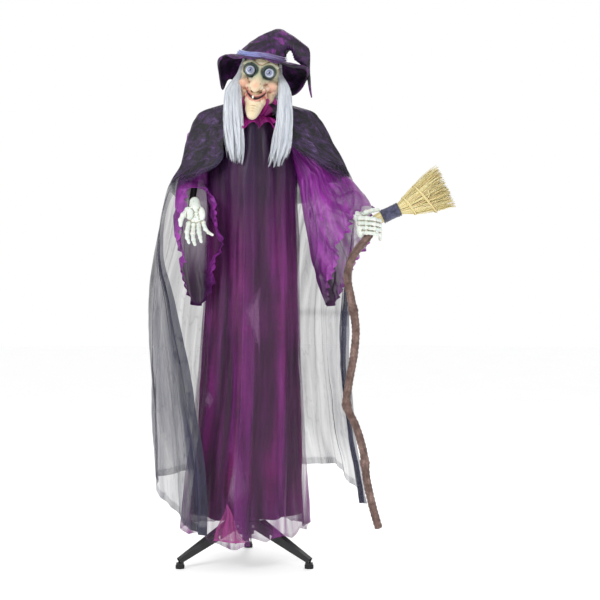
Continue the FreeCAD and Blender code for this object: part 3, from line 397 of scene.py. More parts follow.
def sheer_cloth(name, dark, light, cover, fold_cover, pitch, sheen, crinkle=0.35, top=None):
    """Organza or tulle: see-through, denser where it folds, with its weave and fine creases, and painted
    shade in the valleys between its folds when a top colour is given.
    """
    finish = Finish(name, 0.42, Sheen_Weight=sheen, Sheen_Roughness=0.35)
    # painted shade: a dark colour for the valleys between the folds
    valley_shade_colour = tuple(part * 0.35 for part in dark[:3]) + (1.0,)
    finish.shade("Sheen Tint", light)
    cloth = finish.kept("cloth")
    threads = weave(finish, cloth, pitch)
    cloudy = finish.noise(finish.scaled(cloth, (9, 3.2, 1)), 1.6, 4)
    streaks = finish.noise(finish.scaled(cloth, (46, 2.6, 1)), 1.0, 3, bend=0.8)
    fold = finish.kept("fold", "Fac")
    tone = finish.math("ADD", finish.math("MULTIPLY", cloudy, 0.55), finish.math("MULTIPLY", streaks, 0.5))
    colour = finish.blend(finish.span(tone, 0.36, 0.72), dark, light)
    if top:
        colour = finish.blend(finish.kept("top", "Fac"), colour, top)
        # painted shade: the cloth is darkened in the valleys between its folds
        colour = finish.blend(finish.math("MULTIPLY", finish.kept("valley_shade", "Fac"), 0.6), colour, valley_shade_colour)
    finish.shade("Base Color", colour)
    cover_now = finish.math("ADD", finish.span(fold, 0.0, 0.6, cover, fold_cover),
                            finish.span(streaks, 0.3, 0.75, -0.1, 0.12))
    cover_now = finish.math("ADD", cover_now, finish.kept("dense", "Fac"))
    finish.shade("Alpha", finish.math("MULTIPLY", cover_now, finish.span(threads, 0.1, 0.9, 0.86, 1.08)))
    creases = finish.noise(finish.scaled(cloth, (60, 22, 1)), 1.2, 5, bend=1.4)
    under = finish.relief(creases, crinkle, 0.003)
    finish.shade("Normal", finish.relief(threads, 0.12, 0.0004, under))
    return finish.material


# --------------------------------------------------------------------------- robe
ROBE_LEVELS = (0.06, 0.16, 0.56, 1.0, 1.2, 1.36, 1.46, 1.52)
ROBE_HALF_X = (0.200, 0.194, 0.170, 0.150, 0.146, 0.142, 0.110, 0.062)
ROBE_HALF_Y = (0.172, 0.168, 0.146, 0.120, 0.116, 0.108, 0.082, 0.058)
ROBE_MIDDLE = (0.004, 0.000, 0.016, 0.021, 0.021, 0.022, 0.026, 0.030)
ROBE_FRONT = (0.0, 0.0, 0.0, -0.002, -0.004, -0.008, -0.022, -0.038)
SEAM_TURN = math.radians(-8)


def robe_surface(around, height, out=0.0):
    """A point of the robe: around is 0 at the front and grows towards the figure's left."""
    half_x = follow(ROBE_LEVELS, ROBE_HALF_X, height) + out
    half_y = follow(ROBE_LEVELS, ROBE_HALF_Y, height) + out
    middle = follow(ROBE_LEVELS, ROBE_MIDDLE, height)
    front = follow(ROBE_LEVELS, ROBE_FRONT, height)
    return stack(middle + half_x * np.sin(around), front - half_y * np.cos(around), height)


def lining_out(around, height):
    """Soft deep folds of the lining, wider towards the hem."""
    depth = follow((0.06, 0.5, 1.0, 1.3, 1.46, 1.52), (0.030, 0.027, 0.019, 0.012, 0.007, 0.004), height)
    broad = pleats(around, height, 7, 3, 1.7, 1.1)
    fine = pleats(around, height, 15, 5, 2.0, 1.5)
    rumple = clouds(stack(np.cos(around) * 4, np.sin(around) * 4, height * 5), 31)
    return depth * (broad + 0.22 * fine - 0.5) + 0.005 * rumple


def overlay_out(around, height):
    """The sheer layer stands off the lining, most at its own crests and near the hem."""
    stand = follow((0.06, 0.3, 0.7, 1.2, 1.46, 1.52), (0.010, 0.009, 0.005, 0.003, 0.002, 0.002), height)
    crest = pleats(around + 0.4, height, 8, 11, 2.1, 1.9)
    small = pleats(around, height, 19, 17, 2.2, 2.0)
    lift = follow((0.06, 0.5, 1.0, 1.3, 1.52), (0.021, 0.017, 0.012, 0.007, 0.003), height)
    return lining_out(around, height) + 0.003 + stand + lift * (crest + 0.25 * small)


ROBE_TOP = 1.494


def robe_sheet(name, finish, out, start, end, shape, hem):
    """One layer of the robe: out gives how far it stands off the plain surface, and hem its lower edge."""
    rows, columns = shape
    around = np.linspace(start, end, columns)[None, :]
    share = np.linspace(0, 1, rows)[:, None]
    height = mix(ROBE_TOP, hem(around), share)
    base = robe_surface(around + 0 * height, height)
    points = robe_surface(around + 0 * height, height, out(around + 0 * height, height))
    piece = grid(name, points, finish)
    keep(piece, "fold", np.clip(steepness(points, base) * 2.2, 0, 1).ravel())
    stands = out(around + 0 * height, height)
    low, high = stands.min(axis=1, keepdims=True), stands.max(axis=1, keepdims=True)
    # painted shade mask: 1 in the valleys between the folds, where the finish darkens the cloth
    keep(piece, "valley_shade", ease(0.55, 0.12, (stands - low) / (high - low)).ravel())
    return piece, around + 0 * height, height


def edge_band(share, width):
    """1 on a hem's turned edge, 0 inside."""
    return np.clip((share - (1 - width)) / 0.004, 0, 1)


LINING_GRID = (260, 360)
OVERLAY_GRID = (300, 560)


def make_robe():
    def lining_hem(around):
        return 0.168 + 0.012 * clouds(stack(np.cos(around) * 2, np.sin(around) * 2, 0.0), 41)

    lining, around, height = robe_sheet("robe_lining", lining_finish(), lining_out, math.pi, -math.pi,
                                        LINING_GRID, lining_hem)
    keep(lining, "top", ease(0.95, 1.35, height).ravel())

    def overlay_hem(around):
        dip = 0.085 - 0.02 * bell(np.sin(around / 2) * 2 - 0.1, 0.6) + 0.025 * ease(0.3, 1.2, np.abs(around))
        scallop = 0.012 * np.abs(np.sin(around * 6.5 + 0.8)) + 0.012 * cloud(
            stack(np.cos(around) * 3, np.sin(around) * 3, 0.0), 43)
        return dip + scallop

    overlap = 0.22
    start, end = SEAM_TURN + overlap, SEAM_TURN - TURN

    def wrapped(around, height):
        """The end that laps over the front stands one layer further out."""
        return overlay_out(around, height) + 0.004 * ease(end + overlap * 1.4, end, around)

    overlay, around, height = robe_sheet("robe_overlay", overlay_finish(), wrapped, start, end,
                                         OVERLAY_GRID, overlay_hem)
    share = (height - height.max(axis=0)) / (height.min(axis=0) - height.max(axis=0))
    rim = np.maximum(bell(around - end, 0.018), 0.7 * bell(around - start, 0.018))
    torn = torn_places(around, height)
    dense = (0.10 * edge_band(share, 0.010) + 0.42 * rim - 0.35 * torn
             + 0.22 * ease(0.86, 0.97, share) + 0.16 * ease(1.0, 1.4, height))
    keep(overlay, "dense", dense.ravel())
    keep(overlay, "top", ease(1.02, 1.42, height).ravel())
    for piece in (lining, overlay):
        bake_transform(piece)
    patches = make_patches()
    cut_sheet(lining, LINING_GRID)
    cut_sheet(overlay, OVERLAY_GRID)
    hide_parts("dress_skirt", "dress_bodice")
    return lining, overlay


def torn_places(around, height):
    """Thin worn spots of the overlay."""
    spots = ((0.0, 0.84, 0.16, 0.075), (-0.85, 0.56, 0.05, 0.03), (-0.25, 0.31, 0.12, 0.09),
             (0.9, 0.44, 0.06, 0.05))
    worn = 0
    for turn, level, wide, tall in spots:
        reach = np.abs(around - turn) / wide + np.abs(height - level) / tall
        worn = worn + np.clip((1.05 - reach + 0.4 * cloud(stack(around * 22, height * 40, 0.0), 5)) * 3, 0, 1)
    return np.clip(worn, 0, 1)


PATCHES = {  # turn and height of the corners: left, top, right, bottom
    "patch_front": ((-0.17, 0.865), (0.22, 0.935), (0.20, 0.83), (0.23, 0.715)),
    "patch_side": ((-0.98, 0.555), (-0.90, 0.60), (-0.76, 0.555), (-0.86, 0.53)),
    "patch_low": ((-0.30, 0.24), (-0.16, 0.40), (0.12, 0.27), (-0.14, 0.215)),
}


def make_patches():
    """Torn pale scraps that lie on the lining."""
    made = []
    for seed, (name, corners) in enumerate(PATCHES.items()):
        left, top, right, bottom = (np.array(corner) for corner in corners)
        across, down = np.meshgrid(np.linspace(0, 1, 40), np.linspace(0, 1, 60))
        across, down = across[..., None], down[..., None]
        inner = mix(mix(top, right, across), mix(left, bottom, across), down)
        ragged = clouds(np.concatenate([inner * 26, inner[..., :1] * 0], axis=-1), 60 + seed)[..., None]
        border = np.minimum(np.minimum(across, 1 - across), np.minimum(down, 1 - down))
        inner = inner + ragged * np.array([0.035, 0.012]) * np.clip(1 - border * 6, 0, 1)
        turn, level = inner[..., 0], inner[..., 1]
        lift = 0.0016 + 0.0018 * (1 + cloud(stack(turn * 14, level * 30, 1.0), 80 + seed))
        piece = grid(name, robe_surface(turn, level, lining_out(turn, level) + lift), patch_finish())
        fade = np.clip(0.25 + 3 * border[..., 0], 0, 1)
        keep(piece, "fade", fade.ravel())
        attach(piece, "stand")
        cut_sheet(piece, turn.shape)
        made.append(piece)
    made.append(make_gore())
    return made


def make_gore():
    """Bright three-cornered panel let into the front hem."""
    rows, columns = 50, 60
    down = np.linspace(0, 1, rows)[:, None]
    across = np.linspace(-1, 1, columns)[None, :]
    level = mix(0.222, 0.098, down) + 0 * across
    turn = -0.26 + across * 0.26 * (0.04 + down) + 0.02 * np.sin(down * 7)
    out = overlay_out(turn, level) + 0.004 + 0.006 * down * (1 + np.cos(across * 9 + 2 * down)) / 2
    piece = grid("hem_gore", robe_surface(turn, level, out), gore_finish())
    keep(piece, "fold", (0.3 + 0.3 * np.cos(across * 9 + 2 * down)).ravel())
    keep(piece, "dense", (0.25 * edge_band(down + 0 * across, 0.05)).ravel())
    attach(piece, "stand")
    cut_sheet(piece, (rows, columns))
    return piece


def lining_finish():
    finish = Finish("robe_lining_cloth", 0.6, Sheen_Weight=0.2, Sheen_Roughness=0.4)
    finish.shade("Sheen Tint", rgb(150, 60, 140))
    cloth = finish.kept("cloth")
    cloudy = finish.noise(finish.scaled(cloth, (7, 3.4, 1)), 1.4, 5)
    streaks = finish.noise(finish.scaled(cloth, (70, 3, 1)), 1.0, 3, bend=0.6)
    moire = finish.noise(finish.scaled(cloth, (3, 130, 1)), 1.0, 3, bend=1.0)
    tone = finish.math("ADD", finish.math("MULTIPLY", cloudy, 0.5), finish.math("MULTIPLY", streaks, 0.3))
    tone = finish.math("ADD", tone, finish.math("MULTIPLY", moire, 0.2))
    colour = finish.blend(finish.span(tone, 0.38, 0.62), rgb(30, 4, 30), rgb(118, 20, 98))
    colour = finish.blend(finish.math("MULTIPLY", finish.kept("top", "Fac"), 0.6), colour, rgb(26, 14, 42))
    # painted shade: the lining is darkened in the valleys between its folds
    colour = finish.blend(finish.math("MULTIPLY", finish.kept("valley_shade", "Fac"), 0.75), colour, rgb(20, 4, 24))
    finish.shade("Base Color", colour)
    creases = finish.relief(finish.noise(finish.scaled(cloth, (40, 12, 1)), 1.3, 5, bend=1.2), 0.5, 0.004)
    finish.shade("Normal", finish.relief(weave(finish, cloth, 0.0011), 0.25, 0.0004, creases))
    return finish.material


def overlay_finish():
    return sheer_cloth("robe_organza", rgb(62, 12, 68), rgb(140, 42, 138), 0.26, 0.62, 0.0009, 0.14,
                       top=rgb(44, 22, 62))


def patch_finish():
    finish = Finish("patch_gauze", 0.7, Sheen_Weight=0.4)
    cloth = finish.kept("cloth")
    speckle = finish.noise(cloth, 260, 4, 0.7)
    colour = finish.blend(finish.span(speckle, 0.35, 0.65), rgb(104, 62, 108), rgb(172, 128, 168))
    finish.shade("Base Color", colour)
    threads = weave(finish, cloth, 0.002)
    cover = finish.math("MULTIPLY", finish.kept("fade", "Fac"), finish.span(threads, 0.1, 0.8, 0.5, 0.95))
    finish.shade("Alpha", finish.math("MULTIPLY", cover, finish.span(speckle, 0.3, 0.55, 0.55, 1.0)))
    finish.shade("Normal", finish.relief(threads, 0.5, 0.0006))
    return finish.material


def gore_finish():
    return sheer_cloth("gore_organza", rgb(112, 26, 92), rgb(190, 70, 156), 0.5, 0.8, 0.0009, 0.3)


# --------------------------------------------------------------------------- cape
CAPE_LEVELS = (1.558, 1.545, 1.53, 1.50, 1.46, 1.42, 1.34, 1.26, 1.18, 1.06, 0.90, 0.70, 0.45, 0.28, 0.10)
CAPE_LEFT = (-0.040, -0.090, -0.138, -0.168, -0.186, -0.200, -0.218, -0.262, -0.286, -0.308, -0.322, -0.326,
             -0.318, -0.316, -0.310)
CAPE_RIGHT = (0.104, 0.160, 0.214, 0.250, 0.274, 0.292, 0.336, 0.368, 0.372, 0.366, 0.352, 0.350,
              0.372, 0.408, 0.424)
CAPE_BACK = (0.030, 0.050, 0.070, 0.090, 0.108, 0.120, 0.136, 0.148, 0.156, 0.164, 0.172, 0.180,
             0.186, 0.190, 0.190)
CAPE_DEPTH = (0.068, 0.086, 0.108, 0.130, 0.150, 0.160, 0.178, 0.184, 0.186, 0.188, 0.190, 0.196,
              0.204, 0.208, 0.210)
CAPE_RIGHT_TURN = (2.80, 2.80, 2.82, 2.84, 2.80, 2.74, 2.42, 1.90, 1.62, 1.50, 1.46, 1.46, 1.46, 1.46, 1.46)
CAPE_LEFT_TURN = (2.75, 2.74, 2.72, 2.70, 2.68, 2.66, 2.60, 2.08, 1.92, 2.00, 2.30, 2.50, 2.60, 2.62, 2.62)


def cape_surface(side, height, out=0.0):
    """A point of the cape: side is -1 at its right front edge, 0 at the back and 1 at its left front edge."""
    left, right, back, depth, left_turn, right_turn = (
        follow(CAPE_LEVELS[::-1], rows[::-1], height)
        for rows in (CAPE_LEFT, CAPE_RIGHT, CAPE_BACK, CAPE_DEPTH, CAPE_LEFT_TURN, CAPE_RIGHT_TURN))
    turn = np.where(side < 0, side * left_turn, side * right_turn)
    flat = np.where(np.cos(turn) < 0, follow((0.1, 1.2, 1.34, 1.48, 1.56),
                                             (1.0, 1.0, 0.64, 0.5, 0.6), height), 1.0)
    return stack((left + right) / 2 + ((right - left) / 2 + out) * np.sin(turn),
                 back - depth + (depth * flat + out) * np.cos(turn), height)


def cape_sheet(name, finish, hem, depth_low, count, seed, rows, columns, stand=0.0):
    side = np.linspace(-1, 1, columns)[None, :]
    share = np.linspace(0, 1, rows)[:, None]
    height = mix(1.556, hem(side), share ** 1.05)
    side = side + 0 * height
    depth = follow((0.1, 0.5, 1.0, 1.35, 1.5, 1.556),
                   (depth_low, depth_low * 0.85, depth_low * 0.62, 0.011, 0.007, 0.004),
                   height)
    crest = pleats(side * math.pi, height, count, seed, 1.8, 1.2)
    small = pleats(side * math.pi, height, count * 2.3, seed + 4, 2.1, 1.6)
    rumple = clouds(stack(side * 7, height * 9, 0.5), seed + 8)
    edge = bell(np.abs(side) - 1, 0.05) * ease(1.2, 0.9, height)
    out = stand + depth * (crest + 0.22 * small - 0.5) + 0.005 * rumple
    out = out + edge * 0.012 * np.sin(side * 190)
    base = cape_surface(side, height)
    points = cape_surface(side, height, out)
    piece = grid(name, points, finish)
    keep(piece, "fold", np.clip(steepness(points, base) * 1.5 + 0.5 * edge, 0, 1).ravel())
    return piece, side, height, share + 0 * side


def make_cape():
    def hem(side):
        low = follow((-1, -0.86, -0.66, -0.45, 0, 0.4, 0.62, 0.85, 1),
                     (0.12, 0.19, 0.275, 0.285, 0.30, 0.315, 0.30, 0.215, 0.19),
                     side)
        return low + 0.01 * cloud(stack(side * 9, 0.0, 0.0), 3)

    tulle, side, height, share = cape_sheet("cape_tulle", tulle_finish(), hem, 0.044, 8, 21, 260, 520)
    wrinkle = np.abs(clouds(stack(side * 26 + height * 5, height * 7 - side * 6, 0.0), 77))
    lines = bell(wrinkle, 0.035)
    seam = bell(height - 0.845, 0.014) * ease(-0.3, 0.1, side)
    rope = ease(-0.72, -0.9, side) * ease(1.15, 0.75, height)
    keep(tulle, "dense", (0.16 * edge_band(share, 0.02) + 0.10 * lines + 0.12 * seam + 0.22 * rope).ravel())
    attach(tulle, "torso")
    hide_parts("cape")

    def short_hem(side):
        low = follow((-1, -0.8, -0.55, 0, 0.5, 0.8, 1), (1.315, 1.27, 1.24, 1.22, 1.24, 1.27, 1.33), side)
        return low + 0.018 * clouds(stack(side * 8, 1.0, 0.0), 6)

    short, side, height, share = cape_sheet("shoulder_cape", mottled_finish(), short_hem,
                                            0.022, 9, 51, 150, 420, 0.004)
    keep(short, "dense", (0.28 - 0.75 * ease(0.72, 1.02,
                                             share + 0.22 * clouds(stack(side * 11, height * 12, 0.0), 19)))
         .ravel())
    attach(short, "torso")
    cut_sheet(short, (150, 420))
    cut_sheet(tulle, (260, 520))


def tulle_finish():
    return sheer_cloth("cape_tulle", rgb(20, 20, 38), rgb(46, 46, 76), 0.36, 0.62, 0.0016, 0.08, crinkle=0.5)


def mottled_finish():
    finish = Finish("shoulder_mottled", 0.5, Sheen_Weight=0.22, Sheen_Roughness=0.3)
    finish.shade("Sheen Tint", rgb(120, 80, 160))
    cloth = finish.kept("cloth")
    blotch = finish.noise(cloth, 22, 6, 0.68, 1.1)
    vein = finish.cells(finish.scaled(cloth, (1, 1.6, 1)), 38)
    tone = finish.math("ADD", blotch, finish.math("MULTIPLY", vein, -0.25))
    colour = finish.blend(finish.span(tone, 0.40, 0.58), rgb(12, 9, 17), rgb(62, 38, 80))
    colour = finish.blend(finish.span(tone, 0.56, 0.68, 0, 0.6), colour, rgb(116, 92, 140))
    finish.shade("Base Color", colour)
    fold = finish.kept("fold", "Fac")
    cover = finish.math("ADD", finish.span(fold, 0, 0.6, 0.72, 0.95), finish.kept("dense", "Fac"))
    finish.shade("Alpha", cover)
    creases = finish.relief(finish.noise(finish.scaled(cloth, (26, 20, 1)), 1.6, 6, 0.65, 1.6), 0.9, 0.006)
    finish.shade("Normal", finish.relief(weave(finish, cloth, 0.0014), 0.2, 0.0004, creases))
    return finish.material


# --------------------------------------------------------------------------- ruff
def make_ruff():
    """Two gathered frills round the neck, standing up behind the chin."""
    centre = np.array(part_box("neck_ruff")).mean(axis=0)
    finish = sheer_cloth("ruff_organza", rgb(96, 8, 86), rgb(206, 50, 168), 0.66, 0.94, 0.0009,
                         0.4, crinkle=0.5)
    frills = (("neck_ruff_frill", 0.046, 0.084, 0.056, 14, 0.016),
              ("neck_ruff_low_frill", 0.062, 0.106, -0.034, 13, 0.014))
    for seed, (name, inner, outer, rise, count, wave) in enumerate(frills):
        rows, columns = 26, 620
        share = np.linspace(0, 1, rows)[:, None]
        turn = np.linspace(0, TURN, columns)[None, :]
        phase = count * turn + 1.4 * clouds(stack(np.cos(turn) * 2, np.sin(turn) * 2, 0.0), 90 + seed)
        flare = share ** 0.8
        uneven = cloud(stack(np.cos(turn) * 4, np.sin(turn) * 4, 0.0), 93 + seed)
        sway = wave * flare * np.sin(phase) * (1 + 0.35 * uneven)
        radius = mix(inner, outer, flare) + sway + 0.003 * share * np.sin(phase * 2.7)
        lift = centre[2] - 0.006 + rise * share + 0.012 * flare * np.cos(phase + 0.9)
        bunch = turn + 0.07 * flare * np.cos(phase)
        points = stack(centre[0] + radius * np.sin(bunch), centre[1] - radius * np.cos(bunch) * 0.96, lift)
        piece = grid(name, points, finish)
        keep(piece, "fold", (0.5 + 0.5 * np.sin(phase + 1.2) + 0 * share).ravel())
        keep(piece, "dense", (0.25 * edge_band(share + 0 * turn, 0.06) - 0.2 * share + 0 * turn).ravel())
        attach(piece, "torso")
        if seed == 0:
            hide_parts("neck_ruff")


# --------------------------------------------------------------------------- sleeves
def joint_place(name):
    return np.array(JOINTS[name]["pos_m"])


SLEEVES = {
    # along the sleeve: place of its top line and of its hanging line, in millimetres from the shoulder
    # joint; then half width and sideways swing of the bag between them, and the level direction across it
    "left": {"top": ((-8, 0, 44), (66, -12, -30), (110, -34, -80), (160, -86, -130), (196, -142, -190),
                     (217, -180, -221)),
             "low": ((-62, 0, -36), (-16, -12, -130), (8, -30, -250), (32, -62, -370), (60, -92, -480),
                     (86, -116, -556)),
             "half": (42, 44, 50, 50, 50, 46), "swing": (0, 0, 6, 8, 6, 0),
             "across": ((0, -1, 0), (-0.1, -1, 0), (-0.3, -0.95, 0), (-0.6, -0.8, 0), (-0.85, -0.5, 0),
                        (-0.9, -0.44, 0))},
    "right": {"top": ((0, -20, 46), (-10, -46, -40), (-26, -62, -118), (-26, -110, -150), (-14, -170, -162),
                      (-2, -204, -162)),
              "low": ((-5, 36, 0), (-20, 48, -120), (-32, 56, -260), (-32, 10, -390), (-22, -60, -500),
                      (-14, -122, -554)),
              "half": (42, 42, 50, 60, 66, 62), "swing": (0, 0, 16, 34, 44, 40),
              "across": ((1, 0, 0), (1, 0.05, 0), (1, 0.1, 0), (1, 0.12, 0), (1, 0.12, 0), (1, 0.12, 0))},
}


def make_sleeve(side):
    """A bag of sheer cloth hung between a top line and a lower line, ruffled at its mouth."""
    facts = SLEEVES[side]
    shoulder = joint_place(f"{side}_shoulder")
    rows, columns = 150, 260
    share = np.linspace(0, 1, rows)[:, None]
    turn = np.linspace(0, TURN, columns)[None, :]
    keys = np.linspace(0, 1, len(facts["half"]))
    top = shoulder + follow(keys, mm(*facts["top"]), share)
    low = shoulder + follow(keys, mm(*facts["low"]), share)
    half = follow(keys, mm(*facts["half"]), share)
    swing = follow(keys, mm(*facts["swing"]), share)
    across = follow(keys, np.array(facts["across"], float), share)
    across /= np.linalg.norm(across, axis=-1, keepdims=True)
    down = (1 - np.cos(turn)) / 2
    belly = np.sin(turn)
    lines = clouds(stack(down * 2.2 + 0 * share, share * 3, np.sign(belly) + 0 * share), 5 + len(side))
    phase = 15 * down ** 0.8 + 4 * share + 4.2 * lines
    fold = (0.5 + 0.5 * np.cos(phase)) ** 1.5
    fine = (0.5 + 0.5 * np.cos(phase * 2.7 + 3 * lines)) ** 2
    taper = np.clip(1.12 - down ** 2 * 0.62 * share, 0.1, 1)
    frill = ease(0.93, 1.0, share)
    ruffle = frill * 0.006 * np.sin(down * 95 + 2 * lines)
    wide = half * taper * np.sign(belly) * np.abs(belly) ** 0.7
    puff = (0.004 + 0.015 * ease(0, 0.5, share)) * (fold + 0.4 * fine - 0.5) * np.abs(belly) ** 0.6
    offset = wide + np.sign(belly) * puff + swing * down ** 0.6 * (1 - 0.75 * down) + ruffle
    points = top + (low - top) * down[..., None] + across * offset[..., None]
    points = points + np.array([0, 0, 1.0]) * (frill * 0.004 * np.sin(down * 70))[..., None]
    base = top + (low - top) * down[..., None] + across * wide[..., None]
    piece = grid(f"sleeve_{side}", points, sleeve_finish(side))
    keep(piece, "fold", np.clip(steepness(points, base) * 1.4 + 0.25 * frill, 0, 1).ravel())
    tip = ease(0.55, 0.98, down + 0 * share) * ease(0.35, 0.8, share + 0 * down)
    keep(piece, "top", (0.9 * tip).ravel())
    keep(piece, "dense", (0.30 * tip + 0.12 * frill + 0.12 * ease(0.4, 0.0, share) + 0 * down).ravel())
    cut_sheet(piece, (rows, columns))
    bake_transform(piece)
    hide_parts(f"sleeve_upper_{side}", f"sleeve_bell_{side}")
    return piece


def sleeve_finish(side):
    return sheer_cloth(f"sleeve_{side}_cloth", rgb(84, 16, 98), rgb(182, 66, 190), 0.62, 0.95, 0.0010, 0.35,
                       crinkle=0.7, top=rgb(34, 8, 42))


# --------------------------------------------------------------------------- head
def eye_middle(side):
    return np.array(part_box(f"eye_{side}")).mean(axis=0)


EYE_SPAN = eye_middle("left") - eye_middle("right")
HEAD_ACROSS = EYE_SPAN / np.linalg.norm(EYE_SPAN)
HEAD_BACK = np.array([0.0, 1.0, 0.0])
HEAD_UP = np.cross(HEAD_ACROSS, HEAD_BACK)
HEAD_TURN = np.stack([HEAD_ACROSS, HEAD_BACK, HEAD_UP])
EYE_IN_HEAD = mm(0, -66, 26)
HEAD_CENTRE = (eye_middle("left") + eye_middle("right")) / 2 - EYE_IN_HEAD @ HEAD_TURN


def from_head(points):
    """Points of the head's own tilted frame, in the shared frame."""
    return HEAD_CENTRE + np.asarray(points, float) @ HEAD_TURN


def arc(centre, radius, low, high, count, tall=1.0):
    """Points on an upright arc seen from the front; angles in degrees from the figure's left."""
    turns = np.radians(np.linspace(low, high, count))
    return [centre + radius * np.array([math.cos(turn), 0.0, tall * math.sin(turn)]) for turn in turns]


def string_of_clay(points, radius):
    return [(spot, [radius] * 3) for spot in points]


def face_lumps():
    """The balls of clay that merge into the mask: skull, cheeks, brows, lids, nose, warts, lips, chin."""
    lumps = [(mm(0, 6, 26), mm(66, 74, 74)), (mm(0, -16, -8), mm(62, 56, 54)),
             (mm(0, -18, -44), mm(50, 44, 42)),
             (mm(0, -34, 58), mm(52, 38, 34)), (mm(-1, -50, -66), mm(38, 28, 28))]
    lumps += rod(mm(-1, -44, -70), mm(-3, -64, -100), 0.034, 0.026)
    lumps += rod(mm(-3, -64, -100), mm(-3, -76, -116), 0.026, 0.0195)
    for sign in (-1, 1):
        lumps += [(mm(42 * sign, -48, -14), mm(23, 19, 19)), (mm(50 * sign, -32, -24), mm(18, 20, 22)),
                  (mm(28 * sign, -60, -24), mm(16, 12, 12)), (mm(64 * sign, 4, 0), mm(6, 14, 22)),
                  (mm(40 * sign, -28, -46), mm(20, 22, 26))]
        lumps += rod(mm(54 * sign, -46, 50), mm(34 * sign, -64, 57), 0.007, 0.009)
        lumps += rod(mm(34 * sign, -64, 57), mm(9 * sign, -70, 40), 0.009, 0.007)
        lid = EYE_IN_HEAD + mm(32 * sign, -9, 1)
        lumps += string_of_clay(arc(lid, 0.0205, 10, 170, 15, 0.9), 0.0052)
        lumps += string_of_clay(arc(lid, 0.0205, 190, 350, 15, 0.86), 0.0042)
        lumps += [(mm(-5 + 16 * sign, -86, -26), mm(10, 13, 9.5))]
        lumps += rod(mm(22 * sign, -74, -32), mm(36 * sign, -56, -54), 0.006, 0.006)
    lumps += rod(mm(-1, -66, 38), mm(-2, -82, 8), 0.010, 0.0150)
    lumps += rod(mm(-2, -82, 8), mm(-5, -99, -20), 0.0150, 0.0200)
    lumps += rod(mm(-5, -99, -20), mm(-6, -101, -31), 0.0200, 0.0155)
    lumps += [(mm(9, -108, -19), mm(3.4, 3, 3.4)), (mm(20, -74, -86), mm(3, 3, 3)),
              (mm(-40, -64, 2), mm(2.6, 2.6, 2.6))]
    lower_lip = [mm(-30, -64, -44), mm(-17, -75, -61), mm(-3, -80, -70), mm(11, -78, -64), mm(27, -66, -45)]
    for start, end in zip(lower_lip, lower_lip[1:]):
        lumps += rod(start, end, 0.0052, 0.0052, 7)
    upper_lip = [mm(-29, -66, -38), mm(-15, -77, -52), mm(-3, -82, -58), mm(10, -79, -54), mm(26, -68, -39)]
    for start, end in zip(upper_lip, upper_lip[1:]):
        lumps += rod(start, end, 0.0044, 0.0044, 7)
    return lumps


def press(points, normals, centre, width, depth, stretch=(1, 1, 1)):
    """Push a soft dent in (or a bump out, with a negative depth) round a spot of the head."""
    reach = np.linalg.norm((points - centre) / np.array(stretch), axis=1)
    return points - normals * (depth * bell(reach, width))[:, None]


def sculpt_face(points, normals):
    """Eye hollows, nostrils, mouth, creases and pores, pressed into the merged clay."""
    for sign in (-1, 1):
        points = press(points, normals, EYE_IN_HEAD + mm(32 * sign, -14, 0), 0.013, 0.012)
        points = press(points, normals, mm(36 * sign, -52, -52), 0.014, 0.004)
        points = press(points, normals, mm(54 * sign, -50, 22), 0.012, 0.003)
        points = press(points, normals, mm(22 * sign, -62, -8), 0.007, 0.004, (1, 1, 1.8))
        points = press(points, normals, mm(-5 + 9 * sign, -98, -38), 0.0034, 0.006)
        for number in range(4):
            spot = mm((50 + 4 * number) * sign, -46, 16 - 7 * number)
            points = press(points, normals, spot, 0.004, 0.0022, (2.4, 2, 0.6))
        for number in range(3):
            spot = mm(24 * sign, -72, -40 - 9 * number)
            points = press(points, normals, spot, 0.0032, 0.0016, (0.7, 2, 2.0))
    for number in range(3):
        points = press(points, normals, mm(0, -70, 62 + 8 * number), 0.0036, 0.0010, (9, 3, 0.8))
    for step in np.linspace(-1, 1, 15):
        spot = mm(-2 + 25 * step, -84 + 15 * step ** 2, -64 + 20 * step ** 2)
        points = press(points, normals, spot, 0.0044, 0.0055, (1.4, 1.6, 0.85 * (1.15 - 0.5 * abs(step))))
    for number in range(3):
        points = press(points, normals, mm(-2, -86, -88 - 9 * number), 0.0034, 0.0016, (3.4, 3, 0.7))
    points = press(points, normals, mm(-2, -70, -84), 0.007, 0.003, (1.6, 2, 0.9))
    pores = 0.0007 * clouds(points * 70, 4) + 0.00025 * clouds(points * 420, 9, 2)
    return points + normals * pores[:, None]


def face_paint(points):
    """Masks from 0 to 1 for the painted parts of the mask."""
    ring = np.zeros(len(points))
    tint = np.zeros(len(points))
    blush = np.zeros(len(points))
    for sign in (-1, 1):
        lid = EYE_IN_HEAD + mm(32 * sign, -14, 0)
        away = np.linalg.norm((points - lid) * np.array([0.94, 0.55, 1.08]), axis=1)
        ring = np.maximum(ring, ease(0.0325, 0.0235, away))
        tint = np.maximum(tint, ease(0.050, 0.028, away))
        for spot, width in ((mm(46 * sign, -58, -20), 0.024), (mm(34 * sign, -62, -50), 0.020)):
            blush = np.maximum(blush, 0.7 * bell(np.linalg.norm(points - spot, axis=1), width))
    blush = np.maximum(blush, 0.5 * bell(np.linalg.norm(points - mm(-5, -118, -26), axis=1), 0.014))
    across = (points[:, 0] + 0.002) / 0.030
    middle = -0.0640 + 0.020 * across ** 2
    near = (points[:, 1] < -0.050) & (np.abs(across) < 1.08)
    away = np.abs(points[:, 2] - middle) / np.sqrt(1 + (1.33 * across) ** 2)
    mouth = near * ease(0.0056, 0.0034, away + 0.002 * across ** 2)
    lips = near * ease(0.0125, 0.0080, away + 0.002 * across ** 2)
    mole = bell(np.linalg.norm(points - mm(9, -110, -19), axis=1), 0.0030)
    return ring, tint, blush, mouth, lips, mole


